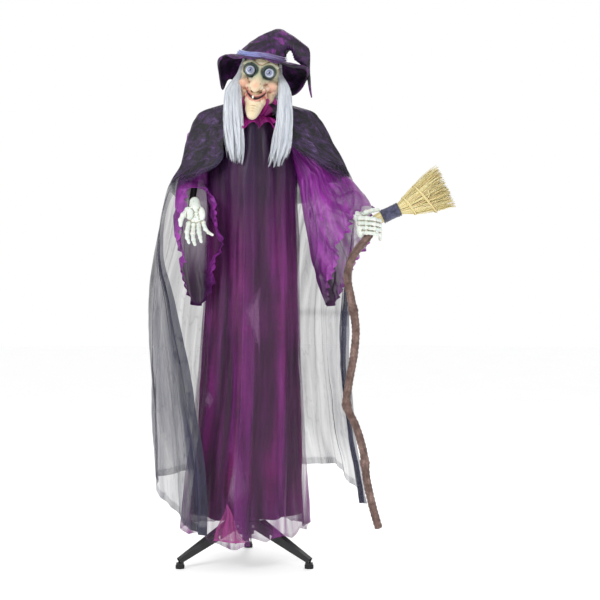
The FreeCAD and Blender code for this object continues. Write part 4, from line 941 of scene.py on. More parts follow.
def hollows(piece, points, normals, reach=4):
    """How deep each point lies below its surroundings."""
    count = len(points)
    edges = np.array([edge.vertices[:] for edge in piece.data.edges])
    inward = (normals[edges[:, 0]] - normals[edges[:, 1]]) * (points[edges[:, 0]] - points[edges[:, 1]])
    bend = inward.sum(axis=1) / np.maximum(np.linalg.norm(points[edges[:, 0]] - points[edges[:, 1]],
                                                          axis=1) ** 2, 1e-12)
    total, uses = np.zeros(count), np.zeros(count)
    for end in (0, 1):
        np.add.at(total, edges[:, end], bend)
        np.add.at(uses, edges[:, end], 1)
    total /= np.maximum(uses, 1)
    for _ in range(reach):
        spread = np.zeros(count)
        np.add.at(spread, edges[:, 0], total[edges[:, 1]])
        np.add.at(spread, edges[:, 1], total[edges[:, 0]])
        total = 0.5 * total + 0.5 * spread / np.maximum(uses, 1)
    return np.clip(-total * 0.012, 0, 1)


def make_face():
    piece = clay("face_mask_skin", face_lumps(), 0.0016, 8, face_finish())
    points, normals = places(piece), directions(piece)
    points = sculpt_face(points, normals)
    move_to(piece, points)
    apply_modifier(piece, "SMOOTH", factor=0.35, iterations=1)
    points, normals = places(piece), directions(piece)
    names = ("ring", "tint", "blush", "mouth", "lips", "mole")
    for name, mask in zip(names, face_paint(points)):
        keep(piece, name, mask)
    # painted shade mask: how deep each point lies in a crease or hollow of the mask
    keep(piece, "cavity_shade", hollows(piece, points, normals))
    move_to(piece, from_head(points))
    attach(piece, "head")
    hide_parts("face_mask", "skull_shell")

    tooth = clay("tooth", [(mm(-9, -84, -60.5), mm(3.6, 3, 5.2)), (mm(-9, -84.4, -63.6), mm(2.8, 2.4, 3.2))],
                 0.0004, 6,
                 tooth_finish())
    move_to(tooth, from_head(places(tooth)))
    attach(tooth, "head")


def face_finish():
    finish = Finish("mask_paint", 0.42, Subsurface_Weight=0.18, Subsurface_Scale=0.004, Coat_Weight=0.12,
                    Coat_Roughness=0.35)
    finish.shade("Subsurface Radius", (1.0, 0.45, 0.3))
    place = finish.place()
    patchy = finish.noise(place, 26, 4)
    fine = finish.noise(place, 190, 4, 0.7)
    colour = finish.blend(finish.span(patchy, 0.38, 0.64), rgb(222, 204, 164), rgb(236, 222, 196))
    colour = finish.blend(finish.math("MULTIPLY", finish.kept("tint", "Fac"), 0.5), colour,
                          rgb(150, 184, 156))
    colour = finish.blend(finish.math("MULTIPLY", finish.kept("blush", "Fac"), 0.85), colour,
                          rgb(216, 120, 108))
    # painted shade: warm brown darkening in the creases and hollows of the face
    colour = finish.blend(finish.span(finish.kept("cavity_shade", "Fac"), 0.16, 0.9, 0, 0.7), colour,
                          rgb(150, 84, 62))
    colour = finish.blend(finish.math("MULTIPLY", finish.kept("ring", "Fac"), 0.96), colour, rgb(14, 44, 44))
    colour = finish.blend(finish.math("MULTIPLY", finish.kept("lips", "Fac"), 0.7), colour,
                          rgb(204, 112, 108))
    colour = finish.blend(finish.kept("mouth", "Fac"), colour, rgb(34, 6, 10))
    colour = finish.blend(finish.kept("mole", "Fac"), colour, rgb(70, 44, 26))
    colour = finish.blend(finish.span(fine, 0.62, 0.8, 0, 0.22), colour, rgb(176, 132, 92))
    finish.shade("Base Color", colour)
    finish.shade("Roughness", finish.span(patchy, 0.3, 0.7, 0.36, 0.5))
    finish.shade("Normal", finish.relief(fine, 0.18, 0.0006, finish.relief(patchy, 0.1, 0.002)))
    return finish.material


def tooth_finish():
    finish = Finish("tooth_enamel", 0.2, Coat_Weight=0.6)
    shade = finish.noise(finish.place(), 260, 3)
    finish.shade("Base Color", finish.blend(finish.span(shade, 0.35, 0.7), rgb(250, 248, 240),
                                            rgb(226, 214, 180)))
    finish.shade("Normal", finish.relief(shade, 0.05, 0.0003))
    return finish.material


def eye_finish(side):
    """Doll's eye: dark pupil, streaked lavender iris, pale rim and white."""
    finish = Finish(f"eye_{side}_glass", 0.06, Coat_Weight=1.0, Coat_Roughness=0.02)
    away = finish.add("VectorMath", "Vector", {"operation": "SUBTRACT"}, _0=finish.place(),
                      _1=tuple(eye_middle(side)))
    ahead = finish.add("VectorMath", "Vector", {"operation": "NORMALIZE"}, _0=away)
    gaze = Vector((0.02 if side == "right" else -0.03, -1.0, -0.03)).normalized()
    cosine = finish.add("VectorMath", "Value", {"operation": "DOT_PRODUCT"}, _0=ahead, _1=tuple(gaze))
    turn = finish.math("ARCCOSINE", finish.math("MINIMUM", cosine, 1.0))
    streak = finish.noise(finish.scaled(ahead, (34, 3, 34)), 1.0, 4, 0.7)
    iris = finish.blend(finish.span(streak, 0.35, 0.7), rgb(84, 90, 122), rgb(140, 150, 186))
    white = finish.blend(finish.span(finish.noise(ahead, 9, 4), 0.4, 0.75), rgb(206, 212, 226),
                         rgb(160, 168, 192))
    colour = finish.blend(finish.span(turn, 0.15, 0.26), rgb(34, 34, 56), iris)
    colour = finish.blend(finish.span(turn, 0.52, 0.72), colour, rgb(204, 212, 228))
    colour = finish.blend(finish.span(turn, 0.80, 0.98), colour, white)
    colour = finish.blend(finish.span(turn, 1.12, 1.3), colour, rgb(40, 60, 62))
    finish.shade("Base Color", colour)
    return finish.material


# --------------------------------------------------------------------------- hair
LOCK_WISPS = 70  # strands that stray from a lock
LOCK_CLUMPS = 26
STRAND_POINTS = 22


def hair_lock(name, route, half, count, seed, node_name):
    """A hanging tress: many fine strands in a few clumps round a route, with uneven ends."""
    chance = np.random.RandomState(seed)
    keys = np.linspace(0, 1, len(route))
    width = np.array([row[0] for row in route])
    spine = np.array([row[1:] for row in route])
    clump = chance.randint(0, LOCK_CLUMPS, count)
    ends = chance.uniform(0.80, 1.02, LOCK_CLUMPS)[clump][:, None] + 0.05 * chance.uniform(-1, 1, (count, 1))
    share = np.linspace(0, 1, STRAND_POINTS)[None, :] * ends
    middle = follow(keys, spine, np.clip(share, 0, 1))
    middle = middle + np.clip(share - 1, 0, 1)[..., None] * (spine[-1] - spine[-2]) * 2.6
    angle, reach = chance.uniform(0, TURN, LOCK_CLUMPS), np.sqrt(chance.uniform(0, 1, LOCK_CLUMPS))
    own_angle, own_reach = chance.uniform(0, TURN, count), 0.34 * np.sqrt(chance.uniform(0, 1, count))
    gather = 1 - 0.75 * ease(0.72, 1.0, share / ends)
    home_x, home_y = (
        (reach[clump] * way(angle[clump]) * 0.84)[:, None] + (own_reach * way(own_angle))[:, None] * gather
        for way in (np.cos, np.sin))
    size = follow(keys, width, np.clip(share, 0, 1))
    wave = clouds(stack(clump[:, None] * 3.7 + 0 * share, share * 3.2, 0.0), seed)
    wave = wave * 0.0062 * np.clip(size, 0, 1)
    fuzz = clouds(stack(np.arange(count)[:, None] * 1.9 + 0 * share, share * 6, 2.0), seed + 3) * 0.0022
    swell = 1 + 0.10 * np.sin(share * 5 + clump[:, None])
    x = middle[..., 0] + size * half[0] * home_x * swell + wave + fuzz
    y = middle[..., 1] + size * half[1] * home_y * swell + wave * 0.6 - fuzz
    z = middle[..., 2] + 0 * x
    stray = chance.choice(count, LOCK_WISPS, replace=False)
    drift = chance.uniform(-1, 1, (LOCK_WISPS, 1))
    x[stray] += drift * 0.016 * share[stray] ** 1.6
    lines = np.stack([x, y, z], axis=-1)
    thick = chance.uniform(0.00042, 0.00085, (count, 1)) * np.clip(1.15 - share ** 5, 0.3, 1)
    piece = tubes(name, lines, thick, HAIR, 4)
    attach(piece, "head")
    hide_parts(node_name)


def make_hair():
    """Two front locks in front of the cape, and the strands round the back of the head."""
    right = [(0.16, *mm(-10, -50, 1682)), (0.26, *mm(-18, -74, 1648)), (0.6, *mm(-33, -112, 1608)),
             (0.85, *mm(-39, -128, 1575)),
             (1.12, *mm(-37, -142, 1490)), (1.28, *mm(-30, -143, 1400)), (1.0, *mm(-26, -139, 1345))]
    left = [(0.16, *mm(110, -50, 1676)), (0.24, *mm(118, -74, 1643)), (0.55, *mm(132, -110, 1600)),
            (0.78, *mm(135, -126, 1560)),
            (1.0, *mm(135, -140, 1490)), (1.22, *mm(125, -143, 1400)), (1.0, *mm(108, -139, 1340))]
    hair_lock("hair_right_strands", right, (0.029, 0.0125), 1500, 11, "hair_right_lock")
    hair_lock("hair_left_strands", left, (0.028, 0.0125), 1500, 12, "hair_left_lock")
    chance = np.random.RandomState(13)
    count, points = 1900, 16
    turn = chance.uniform(math.radians(88), math.radians(272), count)[:, None]
    share = np.linspace(0, 1, points)[None, :] * chance.uniform(0.92, 1.05, (count, 1))
    layer = chance.uniform(0, 1, (count, 1))
    wave = 0.005 * clouds(stack(turn * 6 + 0 * share, share * 3, layer), 23)
    reach_x = mix(0.062, 0.074, layer) - 0.006 * share + wave
    reach_y = mix(0.066, 0.080, layer) + 0.004 * share + wave
    height = mix(0.070, -0.088, share) + 0.012 * np.cos(turn)
    ball = np.sqrt(np.clip(1 - ((height - 0.02) / 0.125) ** 2, 0.35, 1)) ** (height > 0.02)
    x = reach_x * np.sin(turn) * ball
    y = -reach_y * np.cos(turn) * ball + 0.006
    lines = from_head(np.stack([x, y, height], axis=-1))
    piece = tubes("hair_back_strands", lines, 0.0007 + 0 * share * layer, HAIR, 4)
    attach(piece, "head")
    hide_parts("hair_back")


def hair_finish():
    finish = Finish("silver_hair", 0.34, Sheen_Weight=0.15)
    strand = finish.kept("strand", "Fac")
    along = finish.kept("length", "Fac")
    colour = finish.blend(strand, rgb(198, 205, 216), rgb(246, 249, 252))
    colour = finish.blend(finish.span(strand, 0.86, 1.0, 0, 0.6), colour, rgb(150, 154, 168))
    # painted shade: strands darker near their roots, under the hat brim
    colour = finish.blend(finish.span(along, 0.0, 0.25, 0.45, 0.0), colour, rgb(140, 144, 156))
    finish.shade("Base Color", colour)
    finish.shade("Roughness", finish.span(strand, 0, 1, 0.28, 0.5))
    return finish.material


# --------------------------------------------------------------------------- hat
CROWN = (  # the two ends, each across and up, and the half depth of each ring, in the head's frame, in mm
    (-85, 80, 75, 80, 88), (-77, 97, 73, 92, 84), (-57, 124, 73, 104, 74), (-32, 146, 75, 113, 62),
         (2, 171, 80, 119, 50),
    (41, 187, 85, 122, 41), (74, 178, 91, 118, 34), (108, 164, 98, 106, 30), (147, 138, 106, 93, 26),
         (157, 108, 126, 82, 20),
    (161, 76, 146, 68, 12), (168, 40, 157, 36, 8), (177, 4, 168, 2, 5.5), (184, -22, 179, -23, 3))
HAT_TIP = 0.14  # how much lower the hat sits for each metre forward


def tipped(place):
    """The hat leans forward over the face."""
    place[..., 2] += HAT_TIP * (place[..., 1] - 0.008)
    return place


def make_crown():
    """The crown, from rings that lean over into the tail."""
    rows, columns = 210, 190
    route = np.array(CROWN, float) * MM
    middles = (route[:, :2] + route[:, 2:4]) / 2
    gaps = np.linalg.norm(np.diff(middles, axis=0), axis=1)
    keys = np.concatenate([[0], np.cumsum(gaps)]) / gaps.sum()
    share = np.linspace(0, 1, rows)
    rings = follow(keys, route, share)
    half = (rings[:, 2:4] - rings[:, :2]) / 2
    wide = np.linalg.norm(half, axis=1, keepdims=True)
    turn = np.linspace(0, TURN, columns, endpoint=False)[None, :]
    x = (rings[:, 0:1] + rings[:, 2:3]) / 2 + half[:, 0:1] * np.sin(turn)
    z = (rings[:, 1:2] + rings[:, 3:4]) / 2 + half[:, 1:2] * np.sin(turn)
    y = 0.008 - rings[:, 4:5] * np.cos(turn)
    place = stack(x, y, z)
    out = np.stack([np.sin(turn) * half[:, 0:1] / wide, -np.cos(turn) + 0 * x,
                    np.sin(turn) * half[:, 1:2] / wide], axis=-1)
    size = wide / 0.085
    lumps = clouds(place * 24, 5) * 0.0075 * np.clip(size * 1.5, 0.12, 1)
    bend = bell(share[:, None] - 0.40, 0.13)
    pinch = ease(0.1, 0.9, np.sin(turn))
    creases = (bend * pinch * 0.0028 * np.sin(share[:, None] * 120 + 3 * clouds(place * 20, 8))
               + 0.0040 * np.clip(size, 0.15, 1)
               * (pleats(turn + 0 * x, share[:, None] * 2 + 0 * x, 5, 15, 1.6, 1.6) - 0.4))
    seam = -0.0016 * bell(np.sin(turn / 2 - math.pi / 2 - 0.25) * 2, 0.02)
    settle = ease(0.0, 0.06, share[:, None])
    place = tipped(place + out * ((lumps + creases) * settle + seam)[..., None])
    piece = grid("hat_crown_velvet", from_head(place), VELVET, closed=True)
    close_end(piece, rows, columns)
    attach(piece, "head")
    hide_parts("hat_crown")


def close_end(piece, rows, columns):
    """Close the last row of a grid with a fan of faces round its middle."""
    mesh = bmesh.new()
    mesh.from_mesh(piece.data)
    mesh.verts.ensure_lookup_table()
    last = [mesh.verts[(rows - 1) * columns + number] for number in range(columns)]
    tip = mesh.verts.new(sum((vertex.co for vertex in last), Vector()) / columns)
    for number in range(columns):
        mesh.faces.new((last[number - 1], last[number], tip)).smooth = True
    bmesh.ops.recalc_face_normals(mesh, faces=mesh.faces)
    mesh.to_mesh(piece.data)
    mesh.free()


def brim_edge(turn):
    """Reach from the crown's middle, outer height and hanging depth at the brim's edge; 0 is the front."""
    degrees = np.degrees((turn + math.pi) % TURN - math.pi)
    keys = (-180, -150, -122, -103, -90, -72, -42, 0, 40, 62, 80, 96, 122, 150, 180)
    reach = follow(keys, (120, 126, 134, 138, 140, 134, 120, 112, 118, 136, 162, 164, 152, 132, 120),
                   degrees) * MM
    level = follow(keys, (44, 46, 48, 49, 52, 62, 72, 76, 75, 73, 71, 64, 54, 46, 44), degrees) * MM
    hang = follow(keys, (54, 60, 60, 86, 34, 4, 0, 0, 0, 4, 16, 58, 80, 66, 54), degrees) * MM
    return reach, level, hang


def make_brim():
    """The drooping brim, a thin ring with a rolled edge. It gives back the rings for the stitches."""
    rows, columns = 70, 420
    share = np.linspace(0, 1, rows)[:, None]
    turn = np.linspace(0, TURN, columns, endpoint=False)[None, :]
    reach, level, hang = brim_edge(turn)
    inner_x, inner_y = 0.0815, 0.0885
    spread = np.sin(np.clip(share / 0.72, 0, 1) * math.pi / 2)
    tuck = 1 - 0.12 * (hang / 0.07) * ease(0.62, 1.0, share)
    x = -0.005 + mix(inner_x, reach + 0.004, spread) * np.sin(turn) * tuck
    y = 0.008 - mix(inner_y, reach * 0.96, spread) * np.cos(turn)
    wave = 0.0035 * np.sin(turn * 5 + 1.2) + 0.0025 * np.sin(turn * 11 + 0.4)
    height = mix(0.081, level, ease(0, 0.8, share) * 0.7 + 0.3 * share)
    z = height - hang * ease(0.45, 1.06, share) + wave * share
    place = stack(x, y, z)
    place[..., 2] += 0.002 * clouds(place * 34, 12) * np.clip(share * 3, 0, 1)
    place = tipped(place)
    piece = grid("hat_brim_velvet", from_head(place), VELVET, closed=True)
    solid = piece.modifiers.new("Solidify", "SOLIDIFY")
    solid.thickness = 0.0028
    solid.offset = 0.0
    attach(piece, "head")
    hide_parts("hat_brim")
    edge = from_head(place[-1])
    loop = np.concatenate([edge, edge[:1]])[None]
    rim = tubes("hat_brim_edge", loop, np.full((1, columns + 1), 0.0022), VELVET, 8)
    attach(rim, "head")
    return [from_head(place[row]) for row in (18, 32, 46, 58)]


def make_stitches(rings):
    """Short sewn stitches in rings round the brim."""
    lines = []
    for ring in rings:
        ring = ring + HEAD_UP * 0.0016
        for start in range(0, len(ring) - 3, 4):
            lines.append(follow((0, 1, 2), ring[start:start + 3], np.linspace(0, 2, 5)))
    piece = tubes("hat_brim_stitches", lines, np.full((len(lines), 5), 0.00035), THREAD, 4)
    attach(piece, "head")


def make_band():
    rows, columns = 22, 300
    share = np.linspace(0, 1, rows)[:, None]
    turn = np.linspace(0, TURN, columns)[None, :]
    fold = 0.0016 * np.sin(share * 17 + 2.2 * clouds(stack(np.cos(turn) * 3, np.sin(turn) * 3, share), 4))
    bulge = 0.0045 * np.sin(share * math.pi) ** 0.5 + fold
    half_x = mix(0.0825, 0.0765, share) + bulge
    half_y = mix(0.0895, 0.0855, share) + bulge
    middle = mix(-0.005, -0.0015, share)
    height = mix(0.081, 0.099, share) + 0.002 * np.sin(turn * 3 + 1) + 0.0012 * clouds(
        stack(np.cos(turn) * 5, np.sin(turn) * 5, share), 6)
    place = tipped(stack(middle + half_x * np.sin(turn), 0.008 - half_y * np.cos(turn), height))
    piece = grid("hat_band_satin", from_head(place), band_finish())
    keep(piece, "top", ease(-0.9, 0.5, np.sin(turn) + 0 * share).ravel())
    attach(piece, "head")
    cut_sheet(piece, (rows, columns))
    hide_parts("hat_band")


def velvet_finish():
    finish = Finish("crushed_velvet", 0.55, Sheen_Weight=0.4, Sheen_Roughness=0.25)
    finish.shade("Sheen Tint", rgb(150, 90, 170))
    place = finish.place()
    blotch = finish.noise(place, 17, 5, 0.62, 1.3)
    pile = finish.noise(place, 74, 5, 0.7, 0.8)
    tone = finish.math("ADD", finish.math("MULTIPLY", blotch, 0.62), finish.math("MULTIPLY", pile, 0.38))
    colour = finish.blend(finish.span(tone, 0.44, 0.58), rgb(18, 10, 24), rgb(74, 36, 92))
    colour = finish.blend(finish.span(tone, 0.55, 0.66), colour, rgb(146, 48, 150))
    finish.shade("Base Color", colour)
    finish.shade("Roughness", finish.span(pile, 0.3, 0.7, 0.42, 0.66))
    finish.shade("Normal", finish.relief(pile, 0.7, 0.003,
                                         finish.relief(finish.noise(place, 620, 3), 0.35, 0.0006)))
    return finish.material


def band_finish():
    finish = Finish("band_satin", 0.3, Sheen_Weight=0.3, Anisotropic=0.6)
    cloth = finish.kept("cloth")
    # painted highlight: bright lavender streaks of shine on the satin
    shine = finish.noise(finish.scaled(cloth, (9, 60, 1)), 1.4, 3)
    colour = finish.blend(finish.kept("top", "Fac"), rgb(124, 140, 206), rgb(96, 58, 122))
    colour = finish.blend(finish.span(shine, 0.35, 0.7, 0, 0.6), colour, rgb(176, 180, 226))
    finish.shade("Base Color", colour)
    ribs = finish.noise(finish.scaled(cloth, (20, 200, 1)), 1.2, 4)
    finish.shade("Normal", finish.relief(ribs, 0.4, 0.001))
    return finish.material


def thread_finish(name, colour):
    finish = Finish(name, 0.7)
    shade = finish.noise(finish.place(), 900, 2)
    finish.shade("Base Color", finish.blend(finish.span(shade, 0.35, 0.7), colour, rgb(150, 120, 165)))
    return finish.material


# --------------------------------------------------------------------------- hands
def finger(spots, thick, thin):
    """A jointed finger through its spots, with a knuckle at each bend and a rounded tip at the end."""
    lumps = []
    radii = np.linspace(thick, thin, len(spots))
    for number, (start, end) in enumerate(zip(spots, spots[1:])):
        lumps += rod(start, end, radii[number] * 0.92, radii[number + 1] * 0.95, 8)
        lumps.append((start, [radii[number] * 1.12] * 3))
    heading = (spots[-1] - spots[-2]) / np.linalg.norm(spots[-1] - spots[-2])
    lumps.append((spots[-1] + heading * thin * 0.3, [thin * 0.9] * 3))
    return lumps


def finish_hand(name, lumps, wrist, node_name, crease_seed):
    piece = clay(name, [(wrist + np.asarray(spot), radii) for spot, radii in lumps], 0.0014, 5, hand_finish())
    points, normals = places(piece), directions(piece)
    wrinkle = np.abs(clouds(points * np.array([60, 60, 120]), crease_seed, 3))
    points = points - normals * (0.0009 * bell(wrinkle, 0.08) - 0.0005 * clouds(points * 160, 3))[:, None]
    move_to(piece, points)
    # painted shade mask: how deep each point lies in a crease or hollow of the hand
    keep(piece, "cavity_shade", hollows(piece, points, directions(piece)))
    body = node_name
    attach(piece, body)
    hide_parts(node_name)


def make_right_hand():
    """Open hand hanging palm forward, its fingers loosely curled."""
    lumps = [(mm(6, -14, -42), mm(30, 12, 34)), (mm(-14, -22, -36), mm(14, 11, 21)),
             (mm(24, -19, -38), mm(12, 10, 22)),
             (mm(6, -13, -66), mm(29, 10, 11))]
    lumps += rod(mm(0, 8, 2), mm(2, -10, -20), 0.0165, 0.0195)
    lumps += finger([mm(-18, -16, -70), mm(-22, -29, -96), mm(-21, -36, -114), mm(-16, -33, -129)],
                    0.0088, 0.0058)
    lumps += finger([mm(-2, -16, -74), mm(-3, -31, -102), mm(-1, -38, -121), mm(3, -34, -135)],
                    0.0090, 0.0060)
    lumps += finger([mm(14, -16, -73), mm(17, -32, -98), mm(21, -42, -113), mm(24, -40, -126)],
                    0.0086, 0.0058)
    lumps += finger([mm(29, -15, -66), mm(37, -28, -87), mm(47, -36, -98), mm(59, -36, -105)], 0.0078, 0.0050)
    lumps += finger([mm(-20, -18, -26), mm(-34, -26, -42), mm(-42, -33, -58), mm(-42, -37, -73)],
                    0.0105, 0.0068)
    finish_hand("hand_right_skin", lumps, joint_place("right_wrist"), "hand_right", 61)


def make_left_hand():
    """Fist round the top of the handle, its fingertips coming round the far side."""
    wrist = joint_place("left_wrist")
    grip = mm(52, -24, -44)
    lumps = [(grip + mm(-38, 0, 10), mm(20, 19, 32)), (grip + mm(-18, 15, -2), mm(24, 11, 30)),
             (grip + mm(-42, -6, -8), mm(14, 16, 26))]
    lumps += rod(mm(-8, 14, 4), grip + mm(-40, 6, 26), 0.0160, 0.0190)
    for number in range(4):
        drop = mm(0, 0, 30 - 15.5 * number)
        spots = [grip + drop + mm(*spot)
                 for spot in ((-44 + number, -12, 0), (-24, -25, -1), (2, -26, -4), (21, -14, -8),
                                                       (22, 4, -14 - 3 * number))]
        lumps += finger(spots, 0.0090 - 0.0004 * number, 0.0062 - 0.0003 * number)
    lumps += finger([grip + mm(-40, 6, 34), grip + mm(-24, -4, 48), grip + mm(-4, -10, 55),
                     grip + mm(12, -6, 57)],
                    0.0105, 0.0068)
    finish_hand("hand_left_skin", lumps, wrist, "hand_left", 62)


def hand_finish():
    finish = Finish("hand_vinyl", 0.45, Subsurface_Weight=0.15, Subsurface_Scale=0.003)
    place = finish.place()
    patchy = finish.noise(place, 34, 4)
    colour = finish.blend(finish.span(patchy, 0.38, 0.66), rgb(210, 217, 208), rgb(228, 234, 228))
    # painted shade: darkening in the creases and hollows of the hands
    colour = finish.blend(finish.span(finish.kept("cavity_shade", "Fac"), 0.08, 0.6, 0, 0.85), colour,
                          rgb(132, 130, 108))
    finish.shade("Base Color", colour)
    fine = finish.noise(place, 240, 4, 0.7)
    finish.shade("Normal", finish.relief(fine, 0.25, 0.0008))
    return finish.material


# --------------------------------------------------------------------------- broom
HANDLE_ROUTE = ((434, 1150), (411, 1108), (358, 1038), (340, 981), (351, 903), (367, 797),
                (362, 726), (344, 620),
                (337, 556), (369, 478), (390, 407), (404, 301), (425, 209),
                (443, 146))  # across and up, in mm
BROOM_BAND = mm(480, -200, 1179)
BROOM_END = mm(649, -200, 1257)
BROOM_LINE = (BROOM_END - BROOM_BAND) / np.linalg.norm(BROOM_END - BROOM_BAND)
BROOM_SIDE = np.array([0.0, -1.0, 0.0])
BROOM_WIDE = np.cross(BROOM_LINE, BROOM_SIDE)


def broom_place(along, wide, deep):
    """A spot of the broom head: along its line from the collar's middle, across the fan and through it."""
    along, wide, deep = (np.asarray(item, float)[..., None] for item in (along, wide, deep))
    return BROOM_BAND + BROOM_LINE * along + BROOM_WIDE * wide + BROOM_SIDE * deep


def fan_size(along):
    keys = mm(-52, 0, 31, 71, 130, 205)
    return follow(keys, mm(17, 19.5, 19.5, 38, 58, 80), along), follow(keys,
                                                                       mm(17, 19.5, 19.5, 25, 29, 33), along)


def make_straws():
    """Fine straws fanned from the collar."""
    chance = np.random.RandomState(31)
    count, points = 900, 18
    length = mix(0.160, 0.205, chance.uniform(0, 1, (count, 1)) ** 0.6)
    along = mix(-0.052 + chance.uniform(-0.006, 0.004, (count, 1)), length,
                np.linspace(0, 1, points)[None, :])
    turn = chance.uniform(0, TURN, (count, 1))
    reach = np.sqrt(chance.uniform(0, 1, (count, 1)))
    turn_later = turn + chance.normal(0, 0.22, (count, 1)) * ease(0.03, 0.2, along)
    wide, deep = fan_size(along)
    bow = 0.006 * clouds(stack(turn * 9 + 0 * along, along * 14, 0.0), 33) * ease(0.03, 0.2, along)
    x = wide * reach * np.cos(turn_later) * 0.97 + bow
    y = deep * reach * np.sin(turn_later) * 0.97 + bow
    droop = -0.010 * ease(0.05, 0.21, along) * chance.uniform(0, 1, (count, 1))
    lines = broom_place(along, x + droop, y)
    thick = chance.uniform(0.00062, 0.00125, (count, 1)) * (1 - 0.45 * ease(0.12, 0.205, along))
    piece = tubes("broom_straws", lines, thick, straw_finish(), 5)
    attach(piece, "hand_left")
    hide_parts("broom_bristles")


def make_ties():
    """Two ties of four strands each round the fan, with their tails."""
    lines = []
    for spot, slant in ((0.062, 0.30), (0.118, 0.34)):
        for strand in range(4):
            turn = np.linspace(0, TURN, 90) + strand
            wide, deep = fan_size(spot + 0 * turn)
            shift = (spot + slant * wide * np.cos(turn) * 0.9 + 0.0014 * strand
                     + 0.0012 * np.sin(turn * 3 + strand))
            wide, deep = fan_size(shift)
            lines.append(broom_place(shift, (wide + 0.001) * np.cos(turn), (deep + 0.001) * np.sin(turn)))
        tail = np.linspace(0, 1, 90)
        wide, deep = fan_size(np.array([spot]))
        lines.append(broom_place(spot + 0.03 * tail + 0.006 * np.sin(tail * 5), wide[0] * (0.2 - 0.5 * tail),
                                 deep[0] + 0.002 + 0.003 * np.sin(tail * 3)))
    piece = tubes("broom_tie_cords", lines, np.full((len(lines), 90), 0.0013), straw_finish("tie_straw"), 6)
    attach(piece, "hand_left")
    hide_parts("broom_ties")


def make_collar():
    """The wound collar between the handle and the fan."""
    rows, columns = 190, 96
    share = np.linspace(0, 1, rows)[:, None]
    turn = np.linspace(0, TURN, columns, endpoint=False)[None, :]
    along = mix(-0.031, 0.031, share)
    wind = 0.0007 * np.abs(np.sin((share * 17 + turn / TURN) * math.pi))
    rim = (0.0022 * (bell(share, 0.045) + bell(share - 1, 0.045))
           + 0.0014 * (bell(share - 0.14, 0.025) + bell(share - 0.86, 0.025)))
    radius = 0.0215 + wind + rim + 0.0006 * clouds(stack(np.cos(turn) * 2, np.sin(turn) * 2, share * 9), 35)
    close = ease(0, 0.012, share) * ease(1, 0.988, share)
    radius = radius * (0.86 + 0.14 * close)
    piece = grid("broom_collar_wound", broom_place(along + 0 * turn, radius * np.cos(turn),
                                                   radius * np.sin(turn)),
                 collar_finish(), closed=True)
    keep(piece, "top", np.clip(1 - close + bell(share, 0.05) + bell(share - 1, 0.05), 0,
                               1).repeat(columns, 1).ravel())
    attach(piece, "hand_left")
    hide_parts("broom_collar")


def make_handle():
    """The crooked handle, with ridges like bark, knots and a fine winding."""
    rows, columns = 620, 48
    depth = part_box("broom_handle")
    middle_y = (depth[0].y + depth[1].y) / 2
    route = np.array([mm(out, 0, height) for out, height in HANDLE_ROUTE])
    gaps = np.linalg.norm(np.diff(route, axis=0), axis=1)
    keys = np.concatenate([[0], np.cumsum(gaps)]) / gaps.sum()
    share = np.linspace(0, 1, rows)
    line = follow(keys, route, share)
    line[:, 1] = middle_y + 0.002 * cloud(stack(share * 9, 0.0, 0.0), 5)
    heading = np.gradient(line, axis=0)
    heading /= np.linalg.norm(heading, axis=1, keepdims=True)
    second = np.array([0.0, 1.0, 0.0])
    first = np.cross(heading, second)
    first /= np.linalg.norm(first, axis=1, keepdims=True)
    turn = np.linspace(0, TURN, columns, endpoint=False)[None, :]
    spot = stack(np.cos(turn) * 1.2, np.sin(turn) * 1.2, share[:, None] * 60)
    ridges = np.abs(clouds(spot * np.array([2.2, 2.2, 0.5]), 37))
    knots = sum(bell(share[:, None] - place, 0.014) for place in (0.30, 0.60, 0.79))
    bark = (0.0022 * (0.5 - ridges) + 0.0007 * clouds(spot * 3, 38)
            + 0.0024 * knots * (1 + 0.4 * np.cos(turn * 2)))
    wrap = 0.0006 * np.sin((share[:, None] * 70 + turn / TURN) * TURN)
    ends = np.sqrt(np.clip(np.minimum(share, 1 - share) / 0.0035, 0, 1))[:, None]
    radius = (0.0122 + bark + wrap) * (0.25 + 0.75 * ends)
    ring = first[:, None] * np.cos(turn)[..., None] + second * np.sin(turn)[..., None]
    points = line[:, None] + radius[..., None] * ring
    piece = grid("broom_handle_bark", points, bark_finish(), closed=True)
    # painted shade mask: the bark's grooves, which the finish darkens
    keep(piece, "cavity_shade", np.clip(ridges * 3, 0, 1).ravel())
    mesh = bmesh.new()
    mesh.from_mesh(piece.data)
    mesh.verts.ensure_lookup_table()
    mesh.faces.new([mesh.verts[number] for number in range(columns)])
    mesh.faces.new([mesh.verts[(rows - 1) * columns + number] for number in range(columns)][::-1])
    mesh.to_mesh(piece.data)
    mesh.free()
    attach(piece, "hand_left")
    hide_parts("broom_handle")


def straw_finish(name="broom_straw"):
    finish = Finish(name, 0.5, Sheen_Weight=0.1)
    strand = finish.kept("strand", "Fac")
    along = finish.noise(finish.place(), 44, 3)
    colour = finish.blend(strand, rgb(206, 188, 116), rgb(246, 240, 196))
    colour = finish.blend(finish.span(strand, 0.82, 0.98, 0, 0.7), colour, rgb(196, 128, 62))
    colour = finish.blend(finish.span(along, 0.35, 0.7, 0, 0.35), colour, rgb(224, 206, 140))
    finish.shade("Base Color", colour)
    finish.shade("Normal", finish.relief(finish.noise(finish.place(), 700, 2), 0.3, 0.0005))
    return finish.material


def collar_finish():
    finish = Finish("collar_wrap", 0.55, Sheen_Weight=0.3)
    shade = finish.noise(finish.place(), 90, 4)
    colour = finish.blend(finish.span(shade, 0.36, 0.66), rgb(34, 34, 58), rgb(78, 80, 112))
    colour = finish.blend(finish.math("MULTIPLY", finish.kept("top", "Fac"), 0.8), colour, rgb(46, 46, 50))
    finish.shade("Base Color", colour)
    finish.shade("Normal", finish.relief(finish.noise(finish.place(), 420, 3), 0.5, 0.0008))
    return finish.material


